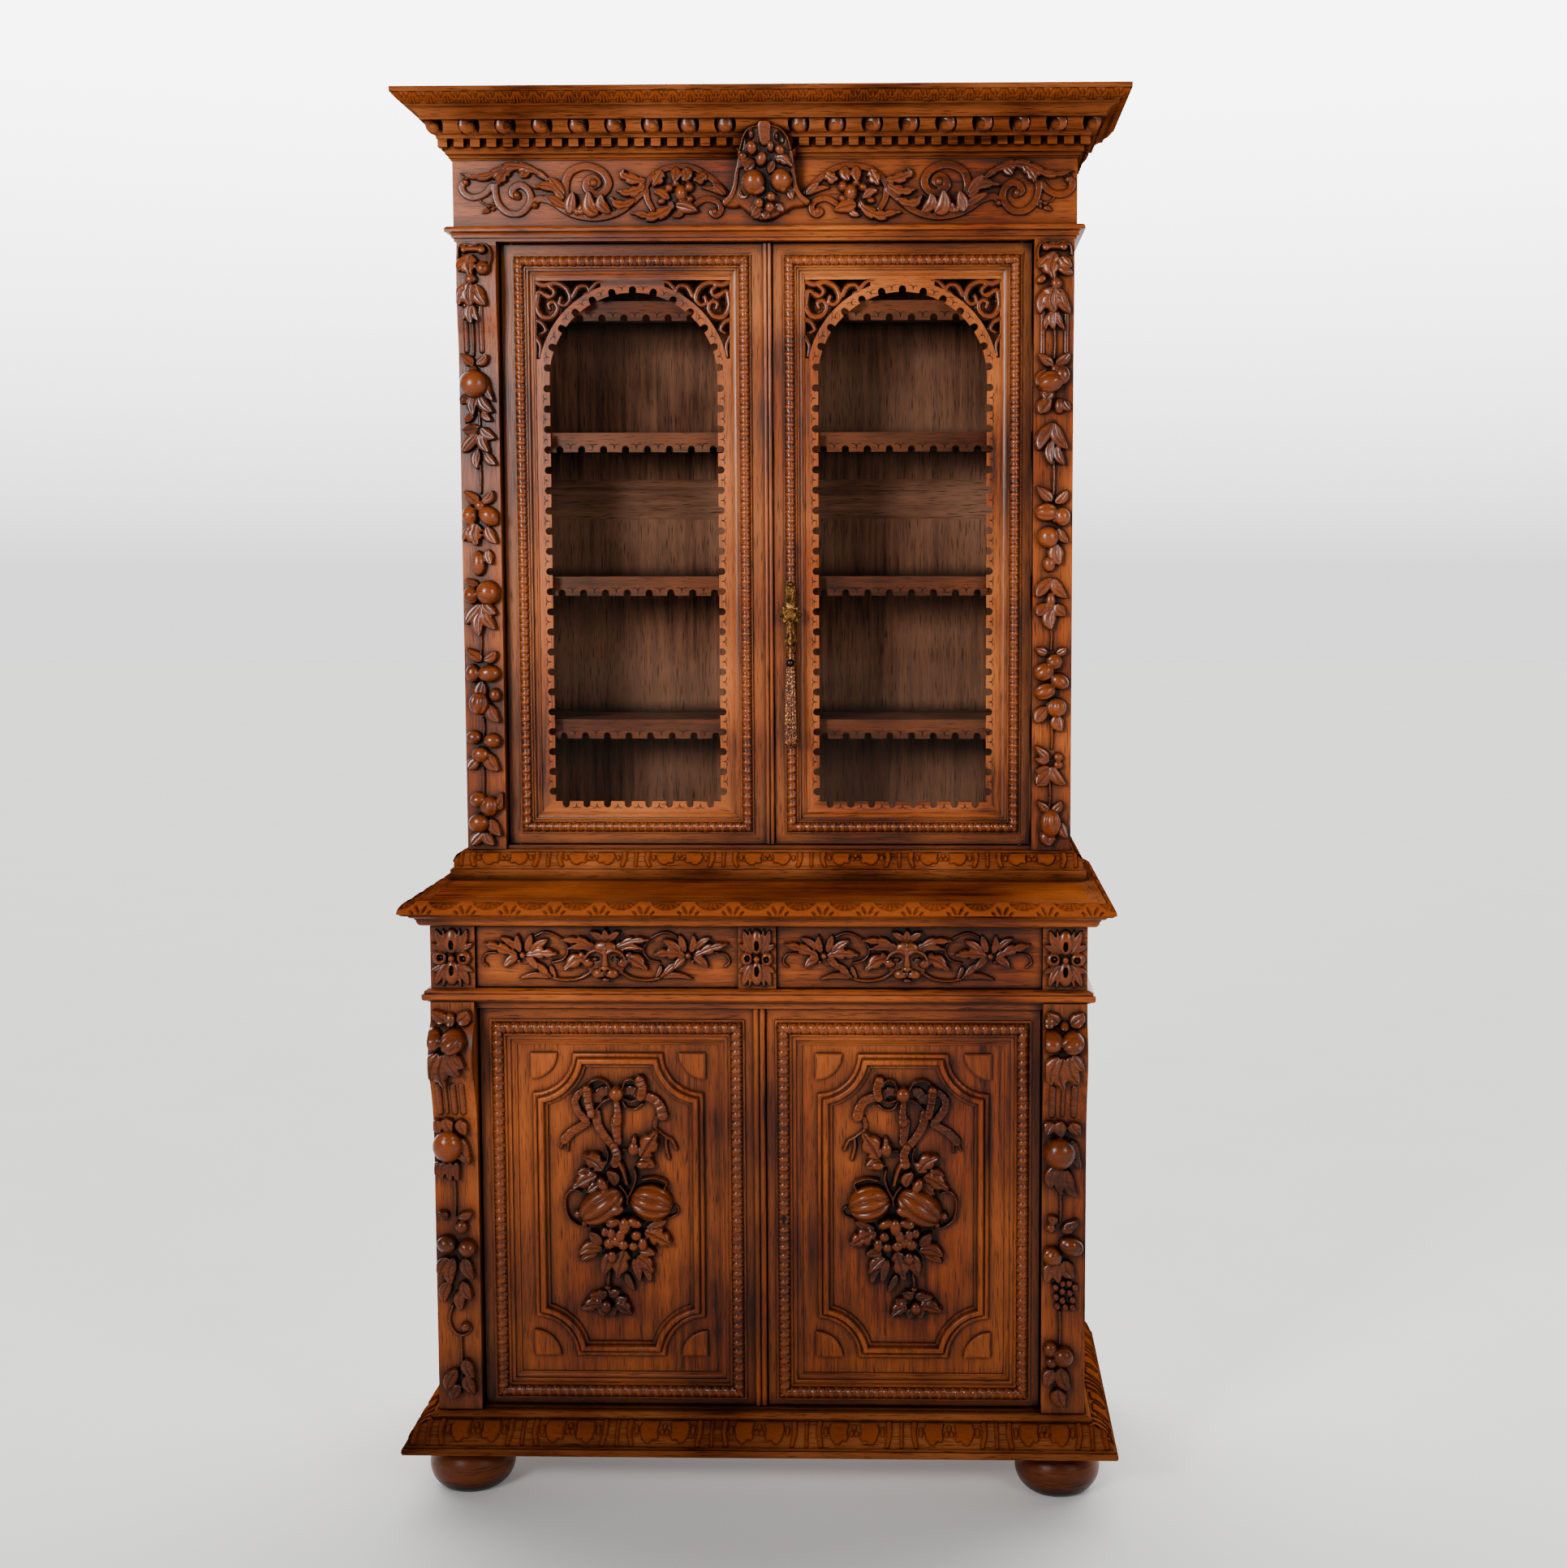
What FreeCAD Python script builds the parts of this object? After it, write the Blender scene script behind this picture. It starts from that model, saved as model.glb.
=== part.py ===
import FreeCAD, Part
import os
import re

from FreeCAD import Placement, Rotation, Vector

# Two-part carved oak cabinet: a low cupboard with two drawers and two panelled doors, and a
# shallower glazed case standing on its top. Millimetres, +Z up, front towards -Y, and the origin
# on the floor under the middle of the whole cabinet.

DIMENSIONS = {
    # Planes shared by both cases
    "back_y": 278,
    "side_board": 22,
    "back_board": 12,
    # Feet
    "foot_height": 97,
    "foot_radius": 75,
    "foot_x": 520,
    "foot_front_y": -157,
    "foot_back_y": 200,
    # Lower case
    "low_half": 562.5,
    "low_front": -223,
    "low_post_inner": 487,
    "low_post_depth": 53,
    "low_post_top": 881,
    "low_console_low": 648,
    "low_console_reach": 32,
    "base_top": 157,
    "base_reach": 55,
    "low_sill_top": 160.7,
    "low_recess": 8,
    "waist_rail_low": 868,
    "waist_top": 904,
    "waist_reach": 13.5,
    "dust_board": 16,
    "low_shelf_top": 518,
    "low_shelf_gap": 20,
    "cleat": 20,
    "block_top": 1013,
    "block_inner": 486,
    "middle_block_left": -34,
    "middle_block_right": 31,
    "bed_top": 1034,
    "bed_reach": 31,
    "counter_top": 1059,
    "counter_reach": 43,
    # Drawers
    "drawer_gap": 1.5,
    "drawer_front_board": 20,
    "drawer_wall": 12,
    "drawer_floor": 8,
    "drawer_back_y": 235,
    "drawer_box_top": 1000,
    # Upper case
    "up_half": 548.5,
    "up_front": 11,
    "up_post_inner": 478,
    "up_post_depth": 49,
    "up_console_low": 1985,
    "up_console_reach": 10,
    "plinth_top": 1111,
    "plinth_reach": 27,
    "up_sill_top": 1117.5,
    "up_recess": 6,
    "head_low": 2199.7,
    "head_top": 2225,
    "architrave_reach": 18.3,
    "up_top_board": 20,
    "floor_board": 20,
    "cross_rail_low": 1715,
    "cross_rail_high": 1790,
    "dowel_radius": 6,
    "dowel_length": 30,
    # Shelves of the upper case
    "shelf_front": 74,
    "shelf_thick": 16,
    "shelf_end_gap": 1,
    "lip_thick": 8,
    "lip_height": 35,
    "lip_notch_pitch": 40,
    "notch_radius": 6.5,
    "notch_depth": 5,
    "pin_radius": 4,
    "pin_length": 24,
    "pin_depth": 10,
    # Frieze and cornice
    "frieze_half": 552.8,
    "frieze_front": 6,
    "frieze_board": 24,
    "frieze_top": 2340,
    "total_height": 2450,
    "cornice_reach": 87.2,
    "cover_board": 12,
    "egg_radius": 12.5,
    "egg_out": 25,
    "egg_z": 2393.7,
    "socket_radius": 19,
    "socket_out": 24,
    "socket_top": 2403,
    "tooth_width": 17,
    "tooth_out": 20.5,
    "tooth_low": 2360,
    "tooth_high": 2376,
    "cartouche_x": 5,
    "cartouche_width": 154,
    "cartouche_low": 2232,
    "cartouche_high": 2393,
    "cartouche_reach": 50,
    # Doors
    "pivot_radius": 3,
    "pivot_length": 26,
    "pivot_inset": 17,
    "pivot_behind": 7,
    "pivot_clearance": 0.05,
    "meeting_left": 10.5,
    "meeting_right": 12.5,
    "up_door_face": 33,
    "up_door_depth": 24,
    "up_door_outer": 474.5,
    "up_door_low": 1119.5,
    "up_door_high": 2197.5,
    "up_moulding_half": 213.5,
    "up_moulding_low": 1138.4,
    "up_moulding_high": 2179.5,
    "up_moulding_width": 37.5,
    "up_moulding_step": 23.5,
    "up_left_centre": -240.5,
    "up_right_centre": 244,
    "moulding_rise": 10,
    "moulding_sink": 10,
    "astragal_width": 15,
    "astragal_rise": 8,
    "fret_thick": 5,
    "glass_thick": 3,
    "sight_half": 174.5,
    "arch_spring": 1962.2,
    "arch_outer": 172,
    "arch_inner": 151.7,
    "sight_low": 1174.5,
    "strip_low": 1195.5,
    "sight_high": 2136,
    "fret_notch_pitch": 36,
    "low_door_face": -203,
    "low_door_depth": 26,
    "low_door_outer": 483.5,
    "low_door_low": 162,
    "low_door_high": 866.5,
    "low_moulding_half": 220.5,
    "low_moulding_low": 171.8,
    "low_moulding_high": 845.8,
    "low_moulding_width": 45,
    "low_moulding_step": 24,
    "low_moulding_sink": 8,
    "low_left_centre": -246,
    "low_right_centre": 248,
    "low_astragal_width": 21,
    "panel_thick": 12,
    "field_half": 148.3,
    "field_low": 246.4,
    "field_high": 786,
    "field_bead": 9,
    "field_bead_rise": 5,
    "field_roll": 19,
    "field_roll_rise": 9,
    "field_band": 25,
    "field_band_rise": 4,
    "field_corner": 70,
    "tablet_radius": 46,
    "tablet_rim": 6,
    "tablet_rise": 5,
    "tablet_sink": 3,
    "tablet_out": 3.5,
    # Locks, key and tassel
    "key_x": 42,
    "key_z": 1537,
    "key_radius": 3,
    "key_clearance": 0.08,
    "key_back_y": 54,
    "bow_y": 9.5,
    "bow_radius": 9,
    "bow_wire": 2.5,
    "bit_reach": 8,
    "bit_thick": 2.4,
    "bit_width": 5,
    "lock_half_height": 40,
    "lock_depth": 12,
    "lock_wall": 2,
    "bolt_low": 11,
    "bolt_height": 12,
    "bolt_length": 30,
    "bolt_throw": 10,
    "bolt_gap": 0.3,
    "low_key_z": 499,
    "low_key_x": 41,
    "rosette_radius": 18,
    "plate_thick": 3,
    "plate_half_width": 8,
    "plate_low": 1478,
    "plate_high": 1588,
    "cord_radius": 2.5,
    "cord_top": 1525,
    "bead_radius": 6.5,
    "bead_z": 1451,
    "bead_flat": 6,
    "skirt_top_radius": 7,
    "skirt_low_radius": 12,
    "skirt_low": 1303,
}
SHELF_TOPS = (1344, 1606, 1866.5, 2102)

doc = FreeCAD.newDocument("two_part_cabinet")
dims = doc.addObject("Spreadsheet::Sheet", "Dims")
for row, (alias, size) in enumerate(DIMENSIONS.items(), start=1):
    dims.set(f"A{row}", alias)
    dims.set(f"B{row}", str(size))
    dims.setAlias(f"B{row}", alias)
doc.recompute()

ALIAS = re.compile(r"\b(" + "|".join(sorted(DIMENSIONS, key=len, reverse=True)) + r")\b")
NODES = []


def bind(piece, prop, formula):
    """Drive one property by a formula of the sheet's aliases."""
    piece.setExpression(prop, ALIAS.sub(r"Dims.\1", str(formula)))


def place(piece, x, y, z, turn=Rotation()):
    piece.Placement = Placement(Vector(), turn)
    for axis, formula in zip("xyz", (x, y, z)):
        bind(piece, f"Placement.Base.{axis}", formula)
    return piece


def board(name, x, y, z):
    """Rectangular board between pairs of low and high faces."""
    piece = doc.addObject("Part::Box", name)
    for size, (low, high) in zip(("Length", "Width", "Height"), (x, y, z)):
        bind(piece, size, f"({high}) - ({low})")
    return place(piece, x[0], y[0], z[0])


def mirrored(side, inner, outer):
    """Low and high X faces of a board on the right (1) or left (-1) side."""
    if side > 0:
        return inner, outer
    return f"-({outer})", f"-({inner})"


def rod(name, radius, length, x, y, z, turn=Rotation()):
    """Round bar standing up from its foot, or turned to another axis."""
    piece = doc.addObject("Part::Cylinder", name)
    bind(piece, "Radius", radius)
    bind(piece, "Height", length)
    return place(piece, x, y, z, turn)


TO_BACK = Rotation(Vector(1, 0, 0), -90)


def combine(kind, name, base, tool):
    piece = doc.addObject(kind, name)
    piece.Base = base
    piece.Tool = tool
    return piece


def cut(name, base, *tools):
    """Base with the tools taken out of it one after the other."""
    for count, tool in enumerate(tools, start=1):
        step = name if count == len(tools) else f"{name}_step{count}"
        base = combine("Part::Cut", step, base, tool)
    return base


def compound(name, pieces):
    piece = doc.addObject("Part::Compound", name)
    piece.Links = pieces
    return piece


def node(label, *pieces):
    """Finished sub-part: one solid, or a group of separate solids."""
    piece = pieces[0] if len(pieces) == 1 else compound(label, list(pieces))
    piece.Label = label
    NODES.append(piece)
    return piece


def outline_face(points, to_space):
    """Face inside a closed outline. A pair of points is an arc through the first to the second."""
    start = last = to_space(points[0])
    edges = []
    for entry in points[1:]:
        if isinstance(entry[0], tuple):
            middle, end = (to_space(point) for point in entry)
            edges.append(Part.Arc(last, middle, end).toShape())
        else:
            end = to_space(entry)
            edges.append(Part.LineSegment(last, end).toShape())
        last = end
    if not last.isEqual(start, 1e-6):
        edges.append(Part.LineSegment(last, start).toShape())
    return Part.Face(Part.Wire(edges))


def section(name, back, reach, low, high, shape):
    """Moulding section in the YZ plane. Its flat back stands behind the case's face, and the shaped
    front is given from its foot up, in fractions of the reach and of the height."""
    def to_space(point):
        return Vector(0, -(back + point[0] * reach), low + point[1] * (high - low))
    rear = -back / reach
    piece = doc.addObject("Part::Feature", name)
    piece.Shape = outline_face([(rear, 0), *shape, (rear, 1)], to_space)
    return piece


def length_of(name, profile, length, spare="0"):
    """Straight length of a section, with spare at both ends for mitring."""
    bar = doc.addObject("Part::Extrusion", name)
    bar.Base = profile
    bar.DirMode = "Custom"
    bar.Dir = Vector(1, 0, 0)
    bar.Solid = True
    bind(bar, "LengthFwd", f"({length}) + ({spare})")
    bind(bar, "LengthRev", spare)
    return bar


def run(name, profile, length, reach, start, end, carve=None):
    """One moulding length along X. Its ends are mitred outwards (1) or inwards (-1), or square (0).
    A carver, if given, works the bar before it is mitred."""
    bar = length_of(f"{name}_bar", profile, length, reach)
    if carve:
        bar = carve(name, bar, length, start, end)
    box = profile.Shape.BoundBox
    mitre = doc.addObject("Part::Wedge", f"{name}_mitre")
    bind(mitre, "Ymin", f"-({reach})")
    bind(mitre, "Ymax", "0")
    bind(mitre, "Xmin", f"-({start}) * ({reach})")
    bind(mitre, "Xmax", f"({length}) + ({end}) * ({reach})")
    bind(mitre, "X2min", "0")
    bind(mitre, "X2max", length)
    for prop, level in (("Zmin", box.ZMin), ("Z2min", box.ZMin), ("Zmax", box.ZMax), ("Z2max", box.ZMax)):
        setattr(mitre, prop, level)
    return combine("Part::Common", name, bar, mitre)


def around_case(label, profile, half, front, reach, carve=None):
    """Moulding round three sides of a case: a front length and two returns, mitred at the corners."""
    depth = f"back_y - ({front})"
    middle = run(f"{label}_front", profile, f"2 * ({half})", reach, 1, 1, carve)
    place(middle, f"-({half})", front, 0)
    left = run(f"{label}_left", profile, depth, reach, 0, 1, carve)
    place(left, f"-({half})", "back_y", 0, Rotation(Vector(0, 0, 1), -90))
    right = run(f"{label}_right", profile, depth, reach, 1, 0, carve)
    place(right, half, front, 0, Rotation(Vector(0, 0, 1), 90))
    return middle, left, right


def around_door(label, profile, centre, half, low, high, face, width):
    """Moulding round a door: four lengths mitred inwards, standing on the door's face."""
    lay_down = Rotation(Vector(1, 0, 0), 90)
    sides = (
        ("top", 0, f"{centre} - {half}", high, f"2 * {half}"),
        ("bottom", 180, f"{centre} + {half}", low, f"2 * {half}"),
        ("left", -90, f"{centre} - {half}", low, f"{high} - {low}"),
        ("right", 90, f"{centre} + {half}", high, f"{high} - {low}"),
    )
    pieces = {}
    for side, angle, x, z, length in sides:
        piece = run(f"{label}_{side}", profile, length, width, -1, -1)
        turn = Rotation(Vector(0, 1, 0), angle).multiply(lay_down)
        pieces[side] = place(piece, x, face, z, turn)
    return pieces


def pivots(case):
    """Pins of a case's two doors: a lower and an upper one on each door's axis."""
    pins = {}
    y = f"{case}_door_face + pivot_behind"
    for side, way in (("left", -1), ("right", 1)):
        x = f"{way} * ({case}_door_outer - pivot_inset)"
        for end in ("low", "high"):
            name = f"{case}_{side}_{end}_pin"
            foot = f"{case}_door_{end} - pivot_length / 2"
            pins[side, end] = rod(name, "pivot_radius", "pivot_length", x, y, foot)
            pins[side, end, "hole"] = rod(
                f"{name}_hole", "pivot_radius + pivot_clearance", "pivot_length", x, y, foot)
    return pins


def holes_at(name, pins, end):
    return compound(name, [pins["left", end], pins["right", end]])


# Bun feet
def bun_foot(name, x, y):
    """Turned foot: a flat tread, a full bun, a groove and a short neck."""
    body = doc.addObject("PartDesign::Body", name)
    plane = next(item for item in body.Origin.OriginFeatures if item.Role == "XZ_Plane")
    sketch = body.newObject("Sketcher::SketchObject", f"{name}_half")
    sketch.AttachmentSupport = (plane, "")
    sketch.MapMode = "FlatFace"
    radius = dims.foot_radius
    height = dims.foot_height
    tread = Vector(0.68 * radius, 0, 0)
    waist = Vector(0.80 * radius, 0.76 * height, 0)
    groove = Vector(0.74 * radius, 0.80 * height, 0)
    neck = Vector(0.70 * radius, height, 0)
    foot = Vector(0, 0, 0)
    head = Vector(0, height, 0)
    belly = Part.Arc(tread, Vector(radius, 0.42 * height, 0), waist)
    cove = Part.Arc(groove, Vector(0.66 * radius, 0.90 * height, 0), neck)
    sketch.addGeometry(Part.LineSegment(foot, tread))
    sketch.addGeometry(belly)
    sketch.addGeometry(Part.LineSegment(waist, groove))
    sketch.addGeometry(cove)
    sketch.addGeometry(Part.LineSegment(neck, head))
    sketch.addGeometry(Part.LineSegment(head, foot))
    turning = body.newObject("PartDesign::Revolution", f"{name}_turning")
    turning.Profile = sketch
    turning.ReferenceAxis = (sketch, ["V_Axis"])
    turning.Angle = 360
    return place(body, x, y, 0)


node("bun_feet", *(
    bun_foot(f"foot_{side}_{end}", x, y)
    for side, x in (("left", "-foot_x"), ("right", "foot_x"))
    for end, y in (("front", "foot_front_y"), ("back", "foot_back_y"))))

# Lower case: plinth frame, floor, posts, sides, back, rails and shelf
LOW_POST_BACK = "low_front + low_post_depth"
low_pins = pivots("low")

base_section = section(
    "base_section", dims.low_post_depth, dims.base_reach, dims.foot_height, dims.base_top, [
        (0.96, 0), ((1.0, 0.10), (0.97, 0.20)), (0.93, 0.20), (0.93, 0.26), (0.86, 0.28),
        ((0.64, 0.62), (0.27, 0.80)), (0.22, 0.80), (0.22, 0.88), ((0.16, 0.95), (0.08, 1.0))])
base_front, base_left, base_right = around_case(
    "lower_plinth", base_section, "low_half - low_post_depth", LOW_POST_BACK, "low_post_depth + base_reach")
node("lower_plinth", cut("lower_plinth_drilled", base_front, holes_at("base_pins", low_pins, "low")),
     base_left, base_right)
node("lower_floor_board", board(
    "lower_floor", ("-(low_half - low_post_depth)", "low_half - low_post_depth"),
    (LOW_POST_BACK, "back_y - back_board"), ("base_top - floor_board", "base_top")))

low_console_section = section(
    "low_console_section", 0, dims.low_console_reach, dims.low_console_low, dims.low_post_top, [
        (0.03, 0), ((0.17, 0.20), (0.62, 0.40)), ((1.0, 0.63), (0.25, 0.86)), (0.25, 1.0)])
posts = []
for side, way in (("left", -1), ("right", 1)):
    posts.append(board(f"lower_post_{side}", mirrored(way, "low_post_inner", "low_half"),
                       ("low_front", LOW_POST_BACK), ("base_top", "low_post_top")))
    console = length_of(f"lower_console_{side}", low_console_section, "low_half - low_post_inner")
    posts.append(place(console, mirrored(way, "low_post_inner", "low_half")[0], "low_front", 0))
node("lower_pilasters", *posts)

node("lower_sides", *(
    board(f"lower_side_{side}", mirrored(way, "low_half - side_board", "low_half"),
          (LOW_POST_BACK, "back_y"), ("base_top", "block_top"))
    for side, way in (("left", -1), ("right", 1))))
INSIDE_LOW = ("-(low_half - side_board)", "low_half - side_board")
BETWEEN_POSTS = ("-low_post_inner", "low_post_inner")
node("lower_back", board("lower_back_board", INSIDE_LOW, ("back_y - back_board", "back_y"),
                         ("base_top", "bed_top")))

RECESSED_LOW = ("low_front + low_recess", LOW_POST_BACK)
low_sill = board("low_sill_blank", BETWEEN_POSTS, RECESSED_LOW, ("base_top", "low_sill_top"))
low_head = board("low_head_blank", BETWEEN_POSTS, RECESSED_LOW, ("waist_rail_low", "low_post_top"))
node("lower_rails",
     cut("lower_sill", low_sill, holes_at("low_sill_pins", low_pins, "low")),
     cut("lower_head", low_head, holes_at("low_head_pins", low_pins, "high")),
     board("waist_rail", ("-low_half", "low_half"), ("low_front", LOW_POST_BACK),
           ("low_post_top", "waist_top")))
node("dust_board", board("dust_board_panel", INSIDE_LOW, (LOW_POST_BACK, "back_y - back_board"),
                         ("waist_top - dust_board", "waist_top")))
SHELF_RUN = (f"{LOW_POST_BACK} + low_shelf_gap", "back_y - back_board")
node("lower_shelf", board("lower_shelf_board", INSIDE_LOW, SHELF_RUN,
                          ("low_shelf_top - shelf_thick", "low_shelf_top")))
node("lower_shelf_cleats", *(
    board(f"cleat_{side}", mirrored(way, "low_half - side_board - cleat", "low_half - side_board"), SHELF_RUN,
          ("low_shelf_top - shelf_thick - cleat", "low_shelf_top - shelf_thick"))
    for side, way in (("left", -1), ("right", 1))))

waist_section = section(
    "waist_section", 0, dims.waist_reach, dims.low_post_top, dims.waist_top, [
        (0.35, 0), (0.35, 0.10), ((0.95, 0.22), (0.95, 0.62)), (0.72, 0.66), (0.72, 0.84), (0.45, 0.92),
        (0.20, 1.0)])
node("waist_moulding", *around_case("waist_moulding", waist_section, "low_half", "low_front", "waist_reach"))

# Drawer row: carved blocks, guides, and two drawers
MIDDLE_BLOCK = ("middle_block_left", "middle_block_right")
BLOCK_DEPTH = ("low_front", LOW_POST_BACK)
BLOCK_HEIGHT = ("waist_top", "block_top")
node("drawer_blocks",
     board("block_left", ("-low_half", "-block_inner"), BLOCK_DEPTH, BLOCK_HEIGHT),
     board("block_middle", MIDDLE_BLOCK, BLOCK_DEPTH, BLOCK_HEIGHT),
     board("block_right", ("block_inner", "low_half"), BLOCK_DEPTH, BLOCK_HEIGHT))
GUIDE_RUN = (LOW_POST_BACK, "back_y - back_board")
GUIDE_HEIGHT = ("waist_top", "waist_top + cleat")
node("drawer_guides",
     board("guide_left", ("-(low_half - side_board)", "-block_inner"), GUIDE_RUN, GUIDE_HEIGHT),
     board("guide_middle", MIDDLE_BLOCK, GUIDE_RUN, GUIDE_HEIGHT),
     board("guide_right", ("block_inner", "low_half - side_board"), GUIDE_RUN, GUIDE_HEIGHT))

for side, inner, outer in (("left", "-block_inner", "middle_block_left"),
                           ("right", "middle_block_right", "block_inner")):
    low_x = f"{inner} + drawer_gap"
    high_x = f"{outer} - drawer_gap"
    front_y = "low_front + low_recess"
    wall_y = f"{front_y} + drawer_front_board"
    foot_z = "waist_top + drawer_gap"
    box_z = (foot_z, "drawer_box_top")
    node(f"{side}_drawer_front", board(f"{side}_drawer_face", (low_x, high_x), (front_y, wall_y),
                                       (foot_z, "block_top - drawer_gap")))
    inside = (f"{low_x} + drawer_wall", f"{high_x} - drawer_wall")
    wall_run = (wall_y, "drawer_back_y")
    node(f"{side}_drawer_box",
         board(f"{side}_drawer_wall_left", (low_x, inside[0]), wall_run, box_z),
         board(f"{side}_drawer_wall_right", (inside[1], high_x), wall_run, box_z),
         board(f"{side}_drawer_wall_back", inside, ("drawer_back_y - drawer_wall", "drawer_back_y"), box_z),
         board(f"{side}_drawer_floor", inside, (wall_y, "drawer_back_y - drawer_wall"),
               (f"{foot_z} + drawer_floor", f"{foot_z} + 2 * drawer_floor")))

# Counter: bed moulding, top board and carved edging
bed_section = section(
    "bed_section", dims.side_board, dims.bed_reach, dims.block_top, dims.bed_top, [
        (0.12, 0), (0.12, 0.08), ((0.52, 0.20), (0.60, 0.55)), (0.68, 0.60), (0.68, 0.72),
        ((0.85, 0.78), (1.0, 1.0))])
node("counter_bed_moulding", *around_case(
    "counter_bed", bed_section, "low_half - side_board", "low_front + side_board", "side_board + bed_reach"))
edging_section = section(
    "edging_section", 0, dims.counter_reach, dims.bed_top, dims.counter_top, [
        (0.80, 0), ((0.91, 0.05), (1.0, 0.18)), ((0.92, 0.62), (0.68, 0.94)), (0.66, 1.0)])
node("counter_edging", *around_case(
    "counter_edging", edging_section, "low_half", "low_front", "counter_reach"))

# Upper case: plinth frame, floor, posts, sides, back, rails and top
UP_POST_BACK = "up_front + up_post_depth"
up_pins = pivots("up")
plinth_section = section(
    "plinth_section", dims.up_post_depth, dims.plinth_reach, dims.counter_top, dims.plinth_top, [
        (1.0, 0), (1.0, 0.36), (0.86, 0.38), (0.80, 0.46), ((0.62, 0.78), (0.36, 0.90)), (0.30, 0.91),
        (0.30, 0.96), ((0.20, 0.99), (0.10, 1.0))])
plinth_front, plinth_left, plinth_right = around_case(
    "upper_plinth", plinth_section, "up_half - up_post_depth", UP_POST_BACK, "up_post_depth + plinth_reach")

dowels = [
    rod(f"dowel_{side}_{end}", "dowel_radius", "dowel_length", f"{way} * (up_half - up_post_depth / 2)", y,
        "counter_top - dowel_length / 2")
    for side, way in (("left", -1), ("right", 1))
    for end, y in (("front", "up_front + up_post_depth + 30"), ("back", "back_y - 40"))]
dowel_set = compound("dowel_set", dowels)
counter_blank = board("counter_blank", ("-low_half", "low_half"), ("low_front", "back_y"),
                      ("bed_top", "counter_top"))
node("counter_top", cut("counter_board", counter_blank, dowel_set))
node("locating_dowels", *dowels)
node("upper_plinth", cut("upper_plinth_drilled", plinth_front, holes_at("plinth_pins", up_pins, "low")),
     cut("upper_plinth_left_drilled", plinth_left, dowel_set),
     cut("upper_plinth_right_drilled", plinth_right, dowel_set))
node("upper_floor_board", board(
    "upper_floor", ("-(up_half - up_post_depth)", "up_half - up_post_depth"),
    (UP_POST_BACK, "back_y - back_board"), ("plinth_top - floor_board", "plinth_top")))

up_console_section = section(
    "up_console_section", 0, dims.up_console_reach, dims.up_console_low, dims.head_low, [
        ((0.10, 0.12), (0.35, 0.25)), ((1.0, 0.62), (0.35, 0.97)), (0.35, 1.0)])
posts = []
for side, way in (("left", -1), ("right", 1)):
    posts.append(board(f"upper_post_{side}", mirrored(way, "up_post_inner", "up_half"),
                       ("up_front", UP_POST_BACK), ("plinth_top", "head_top")))
    console = length_of(f"upper_console_{side}", up_console_section, "up_half - up_post_inner")
    posts.append(place(console, mirrored(way, "up_post_inner", "up_half")[0], "up_front", 0))
node("upper_pilasters", *posts)

INSIDE_UP = ("-(up_half - side_board)", "up_half - side_board")
shelf_pins = []
for level, top in enumerate(SHELF_TOPS, start=1):
    for side, way in (("left", -1), ("right", 1)):
        for end, y in (("front", "shelf_front + 30"), ("back", "back_y - 50")):
            foot = f"{way} * (up_half - side_board + pin_depth)"
            shelf_pins.append(rod(
                f"shelf_pin_{level}_{side}_{end}", "pin_radius", "pin_length", foot, y,
                f"{top} - shelf_thick - pin_radius", Rotation(Vector(0, 1, 0), -90 * way)))
pin_set = compound("pin_set", shelf_pins)
node("upper_sides", *(
    cut(f"upper_side_{side}_drilled", board(
        f"upper_side_{side}", mirrored(way, "up_half - side_board", "up_half"),
        (UP_POST_BACK, "back_y"), ("plinth_top", "head_top")), pin_set)
    for side, way in (("left", -1), ("right", 1))))
node("shelf_pins", *shelf_pins)

BACK_DEPTH = ("back_y - back_board", "back_y")
node("upper_back",
     board("back_low_panel", INSIDE_UP, BACK_DEPTH, ("plinth_top", "cross_rail_low")),
     board("back_cross_rail", INSIDE_UP, BACK_DEPTH, ("cross_rail_low", "cross_rail_high")),
     board("back_high_panel", INSIDE_UP, BACK_DEPTH, ("cross_rail_high", "head_top")),
     board("back_frieze_panel", ("-(frieze_half - frieze_board)", "frieze_half - frieze_board"), BACK_DEPTH,
           ("head_top", "total_height - cover_board")))
up_sill = board("up_sill_blank", ("-up_post_inner", "up_post_inner"), ("up_front + up_recess", UP_POST_BACK),
                ("plinth_top", "up_sill_top"))
up_head = board("up_head_blank", ("-up_post_inner", "up_post_inner"), ("up_front", UP_POST_BACK),
                ("head_low", "head_top"))
node("upper_rails",
     cut("upper_sill", up_sill, holes_at("up_sill_pins", up_pins, "low")),
     cut("upper_head", up_head, holes_at("up_head_pins", up_pins, "high")))
INSIDE_FRIEZE = ("-(frieze_half - frieze_board)", "frieze_half - frieze_board")
node("upper_top_boards",
     board("upper_ceiling", INSIDE_UP, (UP_POST_BACK, "back_y - back_board"),
           ("head_top - up_top_board", "head_top")),
     board("cornice_cover", INSIDE_FRIEZE, ("frieze_front + frieze_board", "back_y"),
           ("total_height - cover_board", "total_height")))

architrave_section = section(
    "architrave_section", 0, dims.architrave_reach, dims.head_low, dims.head_top, [
        (0.22, 0), (0.22, 0.20), (0.42, 0.24), (0.42, 0.42), ((0.55, 0.56), (0.80, 0.60)), (1.0, 0.62),
        (1.0, 0.78), ((0.85, 0.95), (0.55, 1.0))])
node("architrave_moulding", *around_case(
    "architrave", architrave_section, "up_half", "up_front", "architrave_reach"))

# Shelves with scalloped lips


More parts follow.
